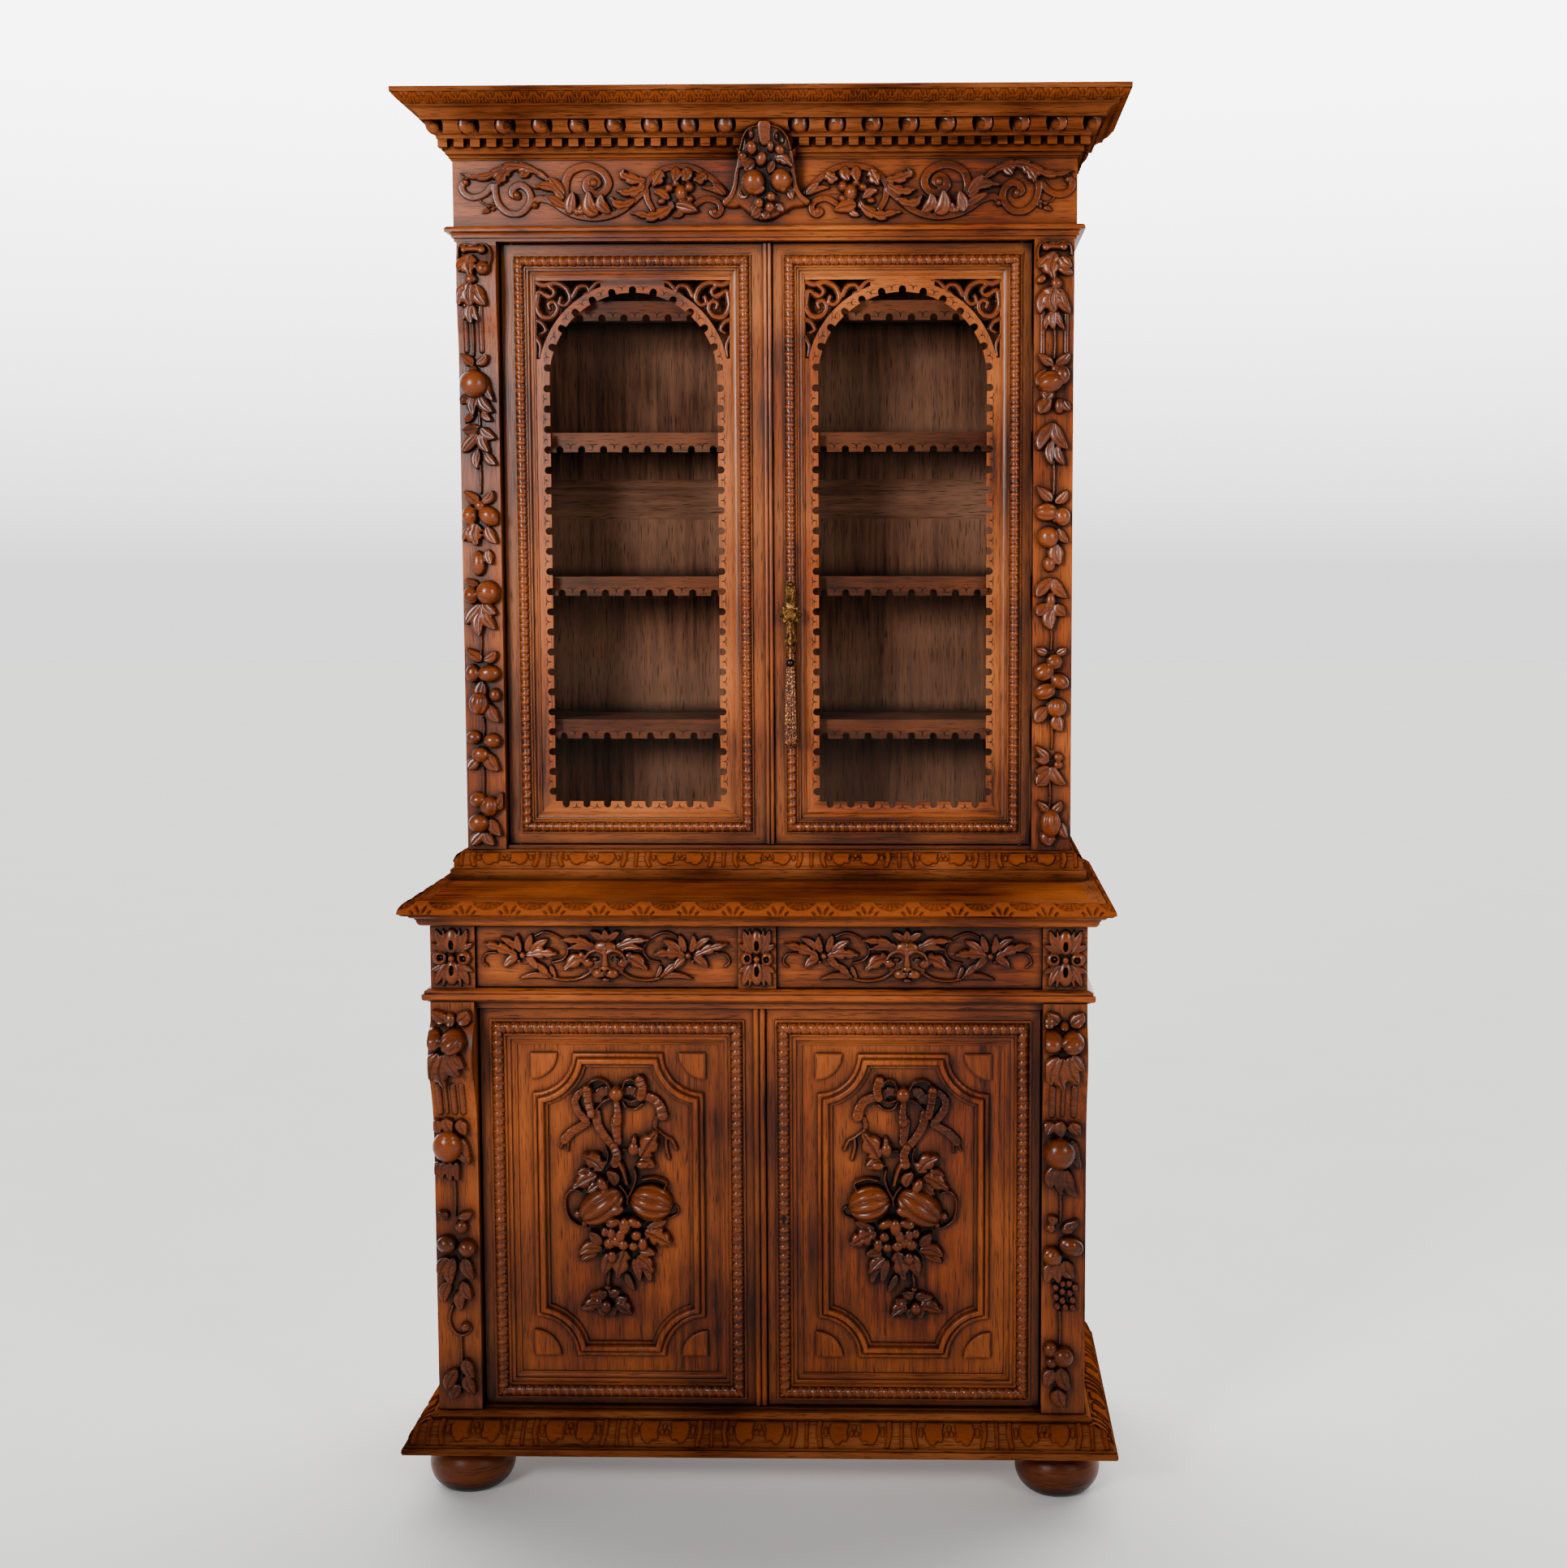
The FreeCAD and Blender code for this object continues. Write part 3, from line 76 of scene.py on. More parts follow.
def oak(name, grain, dark, mid, light, rough=0.30, shine=0.14, mitre=None, alone=False):
    """Stained and waxed oak: growth bands, open pores that show as fine dark dashes, and the gloss
    of old wax. The grain is a noise on Object coordinates stretched by the lengths in mm that grain
    gives for x, y and z; pores are seven times finer, and the tone drifts over about 250 mm.
    Hollows narrower than 26 mm are darkened towards near black by an ambient occlusion node,
    which is painted shade, and crests marked by the rubbed attribute are worn lighter. With alone
    only the piece's own hollows count, as behind a pane of glass.
    With mitre = (axis, x, level, step) the grain, given along x, turns to run along the axis where
    the distance from x passes the distance from level on that axis by step."""
    material, tree = new_material(name)
    place = add(tree, "TexCoord").outputs["Object"]
    stretch = tuple(1000 / length for length in grain)
    if mitre:
        axis, middle, level, step = mitre
        apart = add(tree, "SeparateXYZ", {0: place}).outputs
        aside = [
            add(tree, "Math", {0: add(
                tree, "Math", {0: apart[letter], 1: start / 1000}, operation="SUBTRACT").outputs[0]},
                operation="ABSOLUTE").outputs[0]
            for letter, start in (("X", middle), (axis, level))]
        beside = add(tree, "Math", {0: aside[0], 1: aside[1]}, operation="SUBTRACT").outputs[0]
        turned = add(tree, "Math", {0: beside, 1: step / 1000}, operation="GREATER_THAN")
        across = tuple(np.roll(stretch, "XYZ".index(axis)))
        stretch = add(tree, "Mix", {0: turned.outputs[0], 4: stretch, 5: across},
                      data_type="VECTOR").outputs[1]
    along = add(tree, "Mapping", {"Vector": place, "Scale": stretch}).outputs[0]
    bands = add(tree, "TexNoise", {"Vector": along, "Scale": 1.0, "Detail": 4.0, "Roughness": 0.62,
                                   "Distortion": 0.25}).outputs[0]
    pores = add(tree, "TexNoise", {"Vector": along, "Scale": 7.0, "Detail": 2.0}).outputs[0]
    drift = add(tree, "TexNoise", {"Vector": place, "Scale": 4.0, "Detail": 2.0}).outputs[0]
    sharp = add(tree, "MapRange", {0: bands, 1: 0.34, 2: 0.62}).outputs[0]
    figured = add(tree, "Mix", {0: sharp, 6: linear(dark), 7: linear(mid)}, data_type="RGBA").outputs[2]
    slow = add(tree, "MapRange", {0: drift, 1: 0.38, 2: 0.72, 4: 0.8}).outputs[0]
    toned = add(tree, "Mix", {0: slow, 6: figured, 7: linear(light)}, data_type="RGBA").outputs[2]
    open_pores = add(tree, "MapRange", {0: pores, 1: 0.30, 2: 0.45, 3: 0.22, 4: 1.0}).outputs[0]
    pored = add(tree, "Mix", {0: 1.0, 6: toned, 7: open_pores}, data_type="RGBA",
                blend_type="MULTIPLY").outputs[2]
    rubbed = add(tree, "Attribute", attribute_name="rubbed").outputs["Fac"]
    polished = add(tree, "Mix", {0: rubbed, 6: pored, 7: linear(light)}, data_type="RGBA").outputs[2]
    # Painted shade: ambient occlusion darkens hollows and crevices towards #0e0502.
    hollow = add(tree, "AmbientOcclusion", {"Distance": 0.026}, samples=6, only_local=alone).outputs["AO"]
    shade = add(tree, "MapRange", {0: hollow, 1: 0.48, 2: 1.0}).outputs[0]
    shaded_hollows = add(tree, "Mix", {0: shade, 6: linear("#0e0502"), 7: polished}, data_type="RGBA").outputs[2]
    gloss = add(tree, "MapRange", {0: bands, 1: 0.3, 2: 0.7, 3: rough + 0.10, 4: rough - 0.05}).outputs[0]
    ridge = add(tree, "Bump", {"Height": pores, "Strength": 0.22, "Distance": 0.0008}).outputs[0]
    wood = add(tree, "BsdfPrincipled", {
        "Base Color": shaded_hollows, "Roughness": gloss, "Normal": ridge, "Specular IOR Level": shine})
    add(tree, "OutputMaterial", {"Surface": wood.outputs[0]})
    return material


def dress(material, *names):
    """Gives every slot of the named CAD nodes the material."""
    for name in names:
        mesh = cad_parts[name].data
        mesh.materials.clear()
        mesh.materials.append(material)


LEVEL = (240, 240, 12)
# The feet are given the darkest tones of all the oak.
dress(oak("oak_turned_stained_waxed", LEVEL, "#1e0a04", "#4e210d", "#743b1b"), "bun_feet")

# Base moulding: three mitred lengths of oak planed to a deep ovolo, carved along the ovolo with
# buds between scalloped lobes, curled drops and straps, and glued round the foot of the lower case.


def surface(name, points, body, material, keep=None, rubbed=None, loop=False,
            crease=None):
    """Puts a grid of points (rows, columns, xyz in mm) into a mesh of four-sided cells, leaves out
    the cells that keep says no to, and lets the piece ride on its body. With loop the last row is
    joined to the first; crease keeps edges sharper than that many radians."""
    rows, columns = points.shape[:2]
    corner = np.arange(rows * columns).reshape(rows, columns)
    corner = np.vstack((corner, corner[:1])) if loop else corner
    cells = np.stack((corner[:-1, :-1], corner[:-1, 1:], corner[1:, 1:], corner[1:, :-1]), -1)
    cells = cells.reshape(-1, 4) if keep is None else cells[keep]
    used, cells = np.unique(cells, return_inverse=True)
    mesh = bpy.data.meshes.new(name)
    mesh.from_pydata((points.reshape(-1, 3)[used] / 1000).tolist(), [], cells.reshape(-1, 4).tolist())
    mesh.shade_smooth()
    if crease:
        mesh.set_sharp_from_angle(angle=crease)
    if rubbed is not None:
        worn = mesh.attributes.new("rubbed", "FLOAT", "POINT")
        worn.data.foreach_set("value", rubbed.ravel()[used].astype(np.float32))
    mesh.materials.append(material)
    piece = bpy.data.objects.new(name, mesh)
    bpy.context.scene.collection.objects.link(piece)
    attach(piece, body)
    return piece


def through(points):
    """A smooth line through points: between each pair a cubic whose slopes come from the
    neighbours, eight steps to a pair."""
    knots = np.array(points, float)
    slopes = np.gradient(knots, axis=0) if len(knots) > 2 else np.repeat([knots[1] - knots[0]], 2, 0)
    place = np.linspace(0, len(knots) - 1, 8 * (len(knots) - 1) + 1)
    first = np.minimum(place.astype(int), len(knots) - 2)
    f = (place - first)[:, None]
    return ((2 * f ** 3 - 3 * f ** 2 + 1) * knots[first] + (f ** 3 - 2 * f ** 2 + f) * slopes[first]
            + (3 * f ** 2 - 2 * f ** 3) * knots[first + 1] + (f ** 3 - f ** 2) * slopes[first + 1])


def touching(raised):
    """The cells of a grid that have at least one raised corner."""
    return raised[:-1, :-1] | raised[:-1, 1:] | raised[1:, 1:] | raised[1:, :-1]


class Carving:
    """Relief cut from a board: heights in mm over a grid of x and z. Motifs are laid one over
    another and the higher wood stays; ground left alone is sunk just under the face."""

    sunk = -0.8

    def __init__(self, x_range, z_range, step):
        self.step = step
        self.x = np.arange(x_range[0], x_range[1] + step / 2, step)
        self.z = np.arange(z_range[0], z_range[1] + step / 2, step)
        self.height = np.full((self.z.size, self.x.size), self.sunk)

    def window(self, points, reach):
        """The rows and columns of the grid within reach of the points, and their x and z."""
        low, high = np.min(points, 0) - reach, np.max(points, 0) + reach
        part = (slice(*np.searchsorted(self.z, (low[1], high[1]))),
                slice(*np.searchsorted(self.x, (low[0], high[0]))))
        return part, *np.meshgrid(self.x[part[1]], self.z[part[0]])

    def lay(self, part, inside, half, rise, lift=0, square=2):
        """Keeps the higher of the old wood and a new swelling where inside, the distance from its
        middle as a share of half, is under 1: half an ellipse, or with a higher square a block with
        rounded shoulders. It falls away steeply beyond."""
        swell = rise * np.clip(1 - inside ** square, 0, None) ** (1 / square)
        wall = np.clip((1 - inside) * half / 1.2, -2, 1)
        self.height[part] = np.maximum(self.height[part], swell + np.where(wall > 0, lift * wall, wall))

    def turned(self, x, z, wide, tall, turn):
        """The window round an oval turned by degrees, and where its points lie along and across
        it as shares of its half width and half height."""
        part, dx, dz = self.window([(x, z)], max(wide, tall) + 3)
        c, s = np.cos(np.radians(turn)), np.sin(np.radians(turn))
        return part, (c * (dx - x) + s * (dz - z)) / wide, (c * (dz - z) - s * (dx - x)) / tall

    def fruit(self, x, z, wide, tall, rise=None, turn=0, ribs=0, lift=0):
        """A round or oval swelling. Ribs are parted by grooves along its meridians: a fifth of the
        height goes with |cos| of half their count times the angle round the long axis."""
        part, u, v = self.turned(x, z, wide, tall, turn)
        rise = min(wide, tall) if rise is None else rise
        if ribs:
            round_axis = np.arcsin(np.clip(v / np.sqrt(np.clip(1 - u ** 2, 0.02, None)), -1, 1))
            rise = rise * (0.80 + 0.20 * np.abs(np.cos(ribs * round_axis / 2)))
        self.lay(part, np.hypot(u, v), min(wide, tall), rise, lift)

    def dig(self, x, z, wide, tall, depth, turn=0):
        """An oval hollow cut into what is there, deepest in its middle, never below the ground."""
        part, u, v = self.turned(x, z, wide, tall, turn)
        wood = self.height[part]
        left = wood - depth * np.clip(1 - u ** 2 - v ** 2, 0, None) ** 0.5
        self.height[part] = np.maximum(np.minimum(left, wood), np.minimum(wood, 0.3))

    def follow(self, points, reach):
        """For grid points near the smooth line through the points: t along it from 0 to 1 and s
        across it in mm."""
        line = through(points)
        part, x, z = self.window(line, reach)
        start, step = line[:-1], np.diff(line, axis=0)
        away = np.stack((x, z), -1)[..., None, :] - start
        share = np.clip((away * step).sum(-1) / (step ** 2).sum(-1), 0, 1)
        gap = away - share[..., None] * step
        nearest = np.hypot(gap[..., 0], gap[..., 1]).argmin(-1)
        pick = (*np.indices(nearest.shape), nearest)
        side = np.sign(step[nearest][..., 0] * gap[pick][..., 1] - step[nearest][..., 1] * gap[pick][..., 0])
        return part, (nearest + share[pick]) / len(step), side * np.hypot(*np.moveaxis(gap[pick], -1, 0))

    def stem(self, points, wide, rise, lift=0):
        """A round stem along a smooth line; its width tapers from the first to the last of wide."""
        part, t, s = self.follow(points, max(wide))
        half = (wide[0] + (wide[1] - wide[0]) * t) / 2
        self.lay(part, np.abs(s) / half, half, rise, lift)

    def ribbon(self, points, wide, rise, lift=0, folds=0):
        """A strap along a smooth line: square shoulders, and cross folds that dip it by an
        eighth with the cosine of their count along it."""
        part, t, s = self.follow(points, max(wide))
        half = (wide[0] + (wide[1] - wide[0]) * t) / 2
        wave = 1 - 0.13 * (0.5 - 0.5 * np.cos(2 * np.pi * folds * t))
        self.lay(part, np.abs(s) / half, half, rise * wave, lift, square=6)

    def leaf(self, points, wide, rise, lobes=0, lift=0):
        """A leaf along a smooth line from foot to tip. Half its width is a power of sin(pi t), with
        nicks between lobes that sweep forward; a fine groove runs down its plump middle, and the wood
        left under it lifts it towards the tip."""
        part, t, s = self.follow(points, wide)
        swept = t - 0.3 * np.abs(s) / wide
        nick = (0.5 - 0.5 * np.cos(2 * np.pi * lobes * swept)) ** 3
        half = np.maximum(wide / 2 * np.sin(np.pi * t ** 0.8) ** 0.65 * (1 - 0.32 * nick), 0.3)
        inside = np.abs(s) / half
        dome = min(rise, 0.3 * wide)
        groove = 0.24 * np.exp(-(inside / 0.11) ** 2)
        self.lay(part, inside, half, dome * (1 - groove), lift + (rise - dome) * (0.4 + 0.6 * t), square=2.4)

    def plate(self, outline, rise, edge):
        """A board with the outline, closed back to its start: full rise inside, rounded over edge mm
        at its rim. A point is inside if a ray from it crosses the outline an odd number of times."""
        part, x, z = self.window(outline, 3)
        start, end = np.array(outline, float), np.roll(outline, -1, 0)
        step = np.where(np.abs(end - start) < 1e-6, 1e-6, end - start)
        away = np.stack((x, z), -1)[..., None, :] - start
        share = np.clip((away * step).sum(-1) / (step ** 2).sum(-1), 0, 1)
        gap = np.hypot(*np.moveaxis(away - share[..., None] * step, -1, 0)).min(-1)
        passed = (start[:, 1] > z[..., None]) != (end[:, 1] > z[..., None])
        crossed = passed & (away[..., 0] < step[:, 0] * away[..., 1] / step[:, 1])
        gap = np.where(crossed.sum(-1) % 2 == 1, gap, -gap)
        self.lay(part, np.clip(1 - gap / edge, 0, None), edge, rise)

    def kept(self):
        """Cells with at least one corner above the sunk ground."""
        return touching(self.height > self.sunk)

    def rubbed(self):
        """How far handling has worn the wood: the square of the height's share of the highest."""
        return 0.3 * np.clip(self.height / max(self.height.max(), 12), 0, 1) ** 2

    def copied(self, x=0, z=0, across=1, up=1):
        """The same carving cut again: mirrored left to right or top to bottom where across or up is
        -1, then moved by x and z."""
        twin = copy.copy(self)
        twin.x, twin.z = x + across * self.x[::across], z + up * self.z[::up]
        twin.height = self.height[::up, ::across]
        return twin


def arc(start, via, end, count):
    """Points along the circle through three points of a profile, from start to end. The middle is
    where the two chords' midlines meet, and the angle runs evenly by way of the middle point."""
    points = np.array((start, via, end), float)
    chords = np.diff(points, axis=0)
    middle = np.linalg.solve(chords, (chords * (points[:-1] + points[1:]) / 2).sum(1))
    bearing = np.unwrap(np.arctan2(*(points - middle).T[::-1]))
    swing = np.linspace(bearing[0], bearing[2], count)
    return middle + np.hypot(*(points[0] - middle)) * np.stack((np.cos(swing), np.sin(swing)), -1)


def band(name, carving, profile, runs, body, material):
    """Bends a carved strip over a moulding. Its rows follow the profile (out, up) and its columns
    repeat along each run; the height stands off along the profile's normal, and the ends are cut
    to the mitre by running each row on by grow times its distance out."""
    slope = np.gradient(profile, axis=0)
    slope /= np.hypot(*slope.T)[:, None]
    for label, origin, along, out, up, length, grow in runs:
        along, out, up = np.array(along, float), np.array(out, float), np.array(up, float)
        hand = np.cross(along, up) @ out
        count = int(length / carving.step)
        share = np.linspace(0, 1, count)
        p = profile[:, :1]
        place = (1 - share) * -grow[0] * p + share * (length + grow[1] * p)
        column = ((place - length / 2) / carving.step) % carving.x.size
        left = column.astype(int)
        row = np.arange(carving.z.size)[:, None]
        right = (left + 1) % carving.x.size
        height = (carving.height[row, left] * (1 - column + left)
                  + carving.height[row, right] * (column - left))
        p = p + height * slope[:, 1:] * hand
        q = profile[:, 1:] - height * slope[:, :1] * hand
        place = (1 - share) * -grow[0] * p + share * (length + grow[1] * p)
        points = np.array(origin, float) + place[..., None] * along + p[..., None] * out + q[..., None] * up
        keep = touching(height > carving.sunk + 0.05)
        worn = 0.5 * np.clip(height / carving.height.max(), 0, 1) ** 2
        surface(f"{name}_{label}", points, body, material, keep, worn)


def round_case(half, front, back):
    """The three runs of a moulding round a case: left side, front and right side."""
    depth = back - front
    return (("left", (-half, back, 0), (0, -1, 0), (-1, 0, 0), (0, 0, 1), depth, (0, 1)),
            ("front", (-half, front, 0), (1, 0, 0), (0, -1, 0), (0, 0, 1), 2 * half, (1, 1)),
            ("right", (half, front, 0), (0, 1, 0), (1, 0, 0), (0, 0, 1), depth, (1, 0)))


def leaf_band(period, tall, step):
    """One repeat of the case mouldings' carving, unrolled: a three-balled bud between two broad
    scalloped lobes, then on each side a curled drop and a strap, and a rib half a period away. Places
    are drawn for the base's period, in mm along it and in shares of the height."""
    strip = Carving((0, period - step), (0, tall), step)
    size = np.array((period / BASE_PERIOD, tall))
    lobe = np.array([(9, 0.94), (41, 0.94), (44, 0.62), (40, 0.30), (33, 0.12), (26, 0.10), (20, 0.26),
                     (14, 0.20), (10, 0.34), (12, 0.52)]) * size
    for middle in (0, period):
        strip.fruit(middle, 0.74 * tall, 4.5, 0.14 * tall, 3.6)
        for way in (-1, 1):
            strip.fruit(middle + way * 4.6, 0.50 * tall, 4.2, 0.12 * tall, 3.4)
            strip.plate(lobe * (way, 1) + (middle, 0), 3.2, 3)
            strip.fruit(middle + way * 49 * size[0], 0.58 * tall, 4, 0.22 * tall, 3.4)
            strap = np.array([(60, 0.94), (61, 0.5), (57, 0.08)]) * size
            strip.stem(strap * (way, 1) + (middle, 0), (11, 8), 3.2)
    strip.stem([(period / 2, 0.96 * tall), (period / 2, 0.06 * tall)], (7, 6), 2.8)
    return strip


BASE_PERIOD = 164
POST_HALF, POST_FRONT, CASE_BACK = 562.5, -223, 270
LENGTHWISE = (240, 12, 12)
FAR_BEHIND = 10000


def mitred_oak(name, half, front):
    """Oak for the mitred lengths round a case: along x in front, and along y where |x| + y passes
    the front corner, measured from a line far behind the case. Dusting has taken the wax off, so
    they show long brown grain and no glint."""
    return oak(name, LENGTHWISE, "#240e06", "#5c2a12", "#884c28", rough=0.4, shine=0.0,
               mitre=("Y", 0, FAR_BEHIND, half + front - FAR_BEHIND))


low_mitred_oak = mitred_oak("oak_lower_mouldings_dry", POST_HALF, POST_FRONT)
dress(low_mitred_oak, "lower_plinth")
CUT_GRAIN = (70, 70, 9)
CARVED_TONES = ("#1a0803", "#4c1d08", "#743714")
# Carved mouldings were cut across the grain and stained again: short dark grain without a glint.
moulding_oak = oak("oak_moulding_carved_waxed", CUT_GRAIN, *CARVED_TONES, rough=0.4, shine=0.0)
base_strip = leaf_band(BASE_PERIOD, 45, 1.5)
ovolo = arc((47.3, 113.8), (35.2, 134.2), (14.9, 145), base_strip.z.size)
low_runs = round_case(POST_HALF, POST_FRONT, CASE_BACK)
band("base_carving", base_strip, ovolo, low_runs, "carcass", moulding_oak)

# Lower case: upright side boards, a boarded back, floor, loose shelf and rails, all oak; the inner
# faces are greyer and duller than the show wood, and paler, which is partly painted light for the
# inside of the case.
UPRIGHT = (12, 12, 240)
OAK_TONES = ("#240c04", "#662a0d", "#934a1a")
INSIDE_TONES = ("#361b13", "#663b2b", "#825443")
# Stained and waxed show wood: dark bands and pore dashes in warm brown, under a soft old gloss.
level_oak = oak("oak_level_stained_waxed", LEVEL, *OAK_TONES)
upright_oak = oak("oak_upright_stained_waxed", UPRIGHT, *OAK_TONES)
# Planed wood without wax: the same grain, greyer, with hardly any gloss, and paler, which is partly
# painted light for the inside of the case.
inside_upright = oak("oak_upright_planed_dull", UPRIGHT, *INSIDE_TONES, rough=0.6, shine=0.05)
inside_level = oak("oak_level_planed_dull", LENGTHWISE, *INSIDE_TONES, rough=0.6, shine=0.05)
dress(upright_oak, "lower_sides")
dress(level_oak, "lower_rails", "waist_moulding")
dress(inside_upright, "lower_back")
dress(inside_level, "lower_floor_board", "lower_shelf", "lower_shelf_cleats", "dust_board", "drawer_guides")

# Corner posts of the lower case: thick oak uprights with a swelling console at the head, carved
# with drops of fruit, leaves and buds that stand 10 to 28 mm proud of the face.
dress(upright_oak, "lower_pilasters")


def relief(name, carving, face, body, material, lift=0):
    """Sets a carving on a face: y is the face less the height, and lift is added under carved wood
    only, so its edges drop back to the face as steep walls."""
    x, z = np.meshgrid(carving.x, carving.z)
    raised = carving.height > carving.sunk
    y = np.broadcast_to(face, x.shape) - carving.height - np.where(raised, lift, 0)
    return surface(name, np.stack((x, y, z), -1), body, material, carving.kept(), carving.rubbed())


# Carved and waxed oak: short dark grain, painted near black in the cuts as shade, with glints on rubbed
# crests.
carved_oak = oak("oak_carved_waxed", CUT_GRAIN, *CARVED_TONES, rough=0.22, shine=0.18)


def carve_drop(carving, fruits, leaves, stems, rods=()):
    """Lays a hanging drop: stems (x, high, low, width), rods likewise but flatter, leaves (foot,
    tip, width) and fruits (x, z, half width, half height, then ribs and turn if any)."""
    for x, high, low, wide in stems:
        carving.stem([(x, high), (x + 1, (high + low) / 2), (x, low)], (wide, 0.8 * wide), 7)
    for x, high, low, wide in rods:
        carving.stem([(x, high), (x, low)], (wide, wide), 4)
    for x0, z0, x1, z1, wide in leaves:
        sag = (z1 - z0) * 0.12
        carving.leaf([(x0, z0), ((x0 + x1) / 2 + sag, (z0 + z1) / 2 - abs(x1 - x0) * 0.10), (x1, z1)],
                     wide * 1.35, 13, lobes=2 if wide > 27 else 0, lift=1.5)
    for x, z, wide, tall, *more in fruits:
        ribs, turn = (more + [0, 0])[:2]
        plump = min(wide, tall)
        carving.fruit(x, z, 1.06 * wide, 1.06 * tall, 0.9 * plump, turn, ribs, lift=3 + 0.3 * plump)


low_left = Carving((-560.5, -490), (165, 880), 1.1)
carve_drop(
    low_left,
    [(-527, 852, 10, 12), (-552, 822, 15, 18, 5, 20), (-519, 818, 21, 20, 6, 40), (-536, 630, 25, 27),
     (-516, 486, 11, 12), (-542, 455, 17, 15, 3, -20), (-507, 448, 16, 15, 3, -30), (-512, 308, 8, 8)],
    [(-535, 848, -558, 868, 18), (-515, 848, -495, 868, 20), (-530, 800, -507, 758, 24),
     (-542, 800, -556, 750, 24), (-533, 798, -535, 736, 28), (-520, 800, -498, 774, 18),
     (-555, 676, -548, 654, 18), (-540, 678, -528, 654, 20), (-515, 676, -504, 650, 18),
     (-516, 645, -499, 598, 22), (-552, 602, -555, 576, 13), (-543, 602, -546, 572, 13),
     (-533, 602, -531, 568, 12), (-522, 602, -519, 568, 12), (-522, 503, -497, 513, 13),
     (-538, 503, -555, 513, 13), (-540, 432, -554, 398, 19), (-530, 432, -535, 384, 19),
     (-512, 432, -496, 394, 19), (-538, 390, -548, 352, 17), (-515, 390, -500, 358, 17),
     (-517, 375, -518, 338, 17), (-528, 232, -546, 195, 19), (-514, 250, -498, 218, 18),
     (-512, 222, -497, 188, 19), (-524, 205, -536, 178, 17)],
    [(-527, 572, 505, 6), (-521, 290, 200, 5)],
    [(-549, 738, 688, 11), (-537, 738, 688, 7), (-524, 738, 688, 11), (-509, 738, 688, 11)])
low_left.stem([(-534, 346), (-541, 322), (-534, 300), (-518, 292), (-504, 302), (-508, 312)], (7, 5), 6)
low_right = Carving((490, 560.5), (165, 880), 1.1)
carve_drop(
    low_right,
    [(497, 851, 11, 10), (523, 845, 8, 8), (502, 822, 18, 17), (536, 820, 19, 18, 6, 30), (516, 622, 26, 27),
     (502, 490, 9, 9), (530, 487, 11, 9), (537, 458, 16, 21, 4, 70), (505, 440, 16, 17, 4, 60),
     (503, 275, 12, 13), (525, 262, 17, 17), (505, 252, 10, 10), (523, 392, 6, 7), (534, 392, 6, 7),
     (544, 385, 6, 7), (511, 385, 6, 7), (523, 378, 6, 7), (535, 375, 6, 7), (512, 368, 6, 7),
     (523, 362, 6, 7), (540, 363, 6, 7), (514, 352, 6, 7), (528, 350, 6, 7), (540, 349, 6, 7)],
    [(532, 848, 554, 868, 20), (512, 848, 494, 868, 18), (512, 798, 498, 748, 24), (520, 796, 521, 736, 28),
     (530, 798, 546, 748, 24), (536, 802, 555, 774, 18), (505, 676, 494, 654, 19), (520, 678, 520, 650, 19),
     (538, 676, 551, 654, 19), (538, 645, 552, 595, 19), (514, 602, 500, 560, 19), (520, 598, 520, 548, 15),
     (528, 594, 545, 544, 19), (522, 490, 548, 505, 14), (512, 498, 497, 512, 14), (526, 434, 541, 402, 21),
     (506, 428, 496, 394, 19), (519, 432, 516, 394, 17), (520, 244, 536, 202, 21), (508, 240, 496, 208, 19),
     (516, 205, 526, 174, 22)],
    [(518, 552, 500, 7), (518, 342, 285, 6), (518, 250, 200, 5)],
    [(503, 738, 688, 12), (521, 738, 688, 8), (540, 738, 688, 12)])
CONSOLE_REACH, CONSOLE_LOW, CONSOLE_HIGH = 32, 648, 881


def console_face(front, reach, low, high, sections, z):
    """The y of a post's face at each height: the front less the console's profile, whose arcs are
    given in shares of its reach and height."""
    curve = np.concatenate([arc(*np.multiply(section, (reach, high - low)), 24) for section in sections])
    return front - np.interp(z, low + curve[:, 1], curve[:, 0], 0)[:, None]


LOW_CONSOLE = (((0.03, 0), (0.17, 0.20), (0.62, 0.40)), ((0.62, 0.40), (1.0, 0.63), (0.25, 0.86)))
for side, drop in (("left", low_left), ("right", low_right)):
    ground = console_face(POST_FRONT, CONSOLE_REACH, CONSOLE_LOW, CONSOLE_HIGH, LOW_CONSOLE, drop.z)
    relief(f"lower_{side}_fruit_drop", drop, ground, "carcass", carved_oak)

# Lower doors: oak stiles and rails with mitred carved mouldings planted on, a fielded panel with a
# raised eight-sided moulding, and on each panel a bouquet of fruit hung from a tied ribbon.


def gadroon_band(wide, step, rise):
    """One repeat of the door mouldings' carving, unrolled: four eggs lying across the moulding, with a
    pair of slanting ribs between one and the next."""
    period, pitch = 62, 15.5
    strip = Carving((0, period - step), (0, wide), step)
    for x in np.arange(0, period + 1, pitch):
        strip.fruit(x, 0.5 * wide, 4.8, 0.38 * wide, rise)
    for rib in np.add.outer(np.arange(-pitch / 2, period, pitch), (-1.4, 1.8)).ravel():
        slant = [(rib - 1, 0.08 * wide), (rib, 0.5 * wide), (rib + 1, 0.92 * wide)]
        strip.stem(slant, (2.8, 2.8), 0.6 * rise)
    return strip


def round_door(middle, half, low, high, face):
    """The four runs of a mitred moulding inside a door, turning to the left as seen from outside."""
    wide, tall, toward = 2 * half, high - low, (0, -1, 0)
    inner = (-1, -1)
    return (("low", (middle - half, face, low), (1, 0, 0), (0, 0, 1), toward, wide, inner),
            ("right", (middle + half, face, low), (0, 0, 1), (-1, 0, 0), toward, tall, inner),
            ("top", (middle + half, face, high), (-1, 0, 0), (0, 0, -1), toward, wide, inner),
            ("left", (middle - half, face, high), (0, 0, -1), (1, 0, 0), toward, tall, inner))


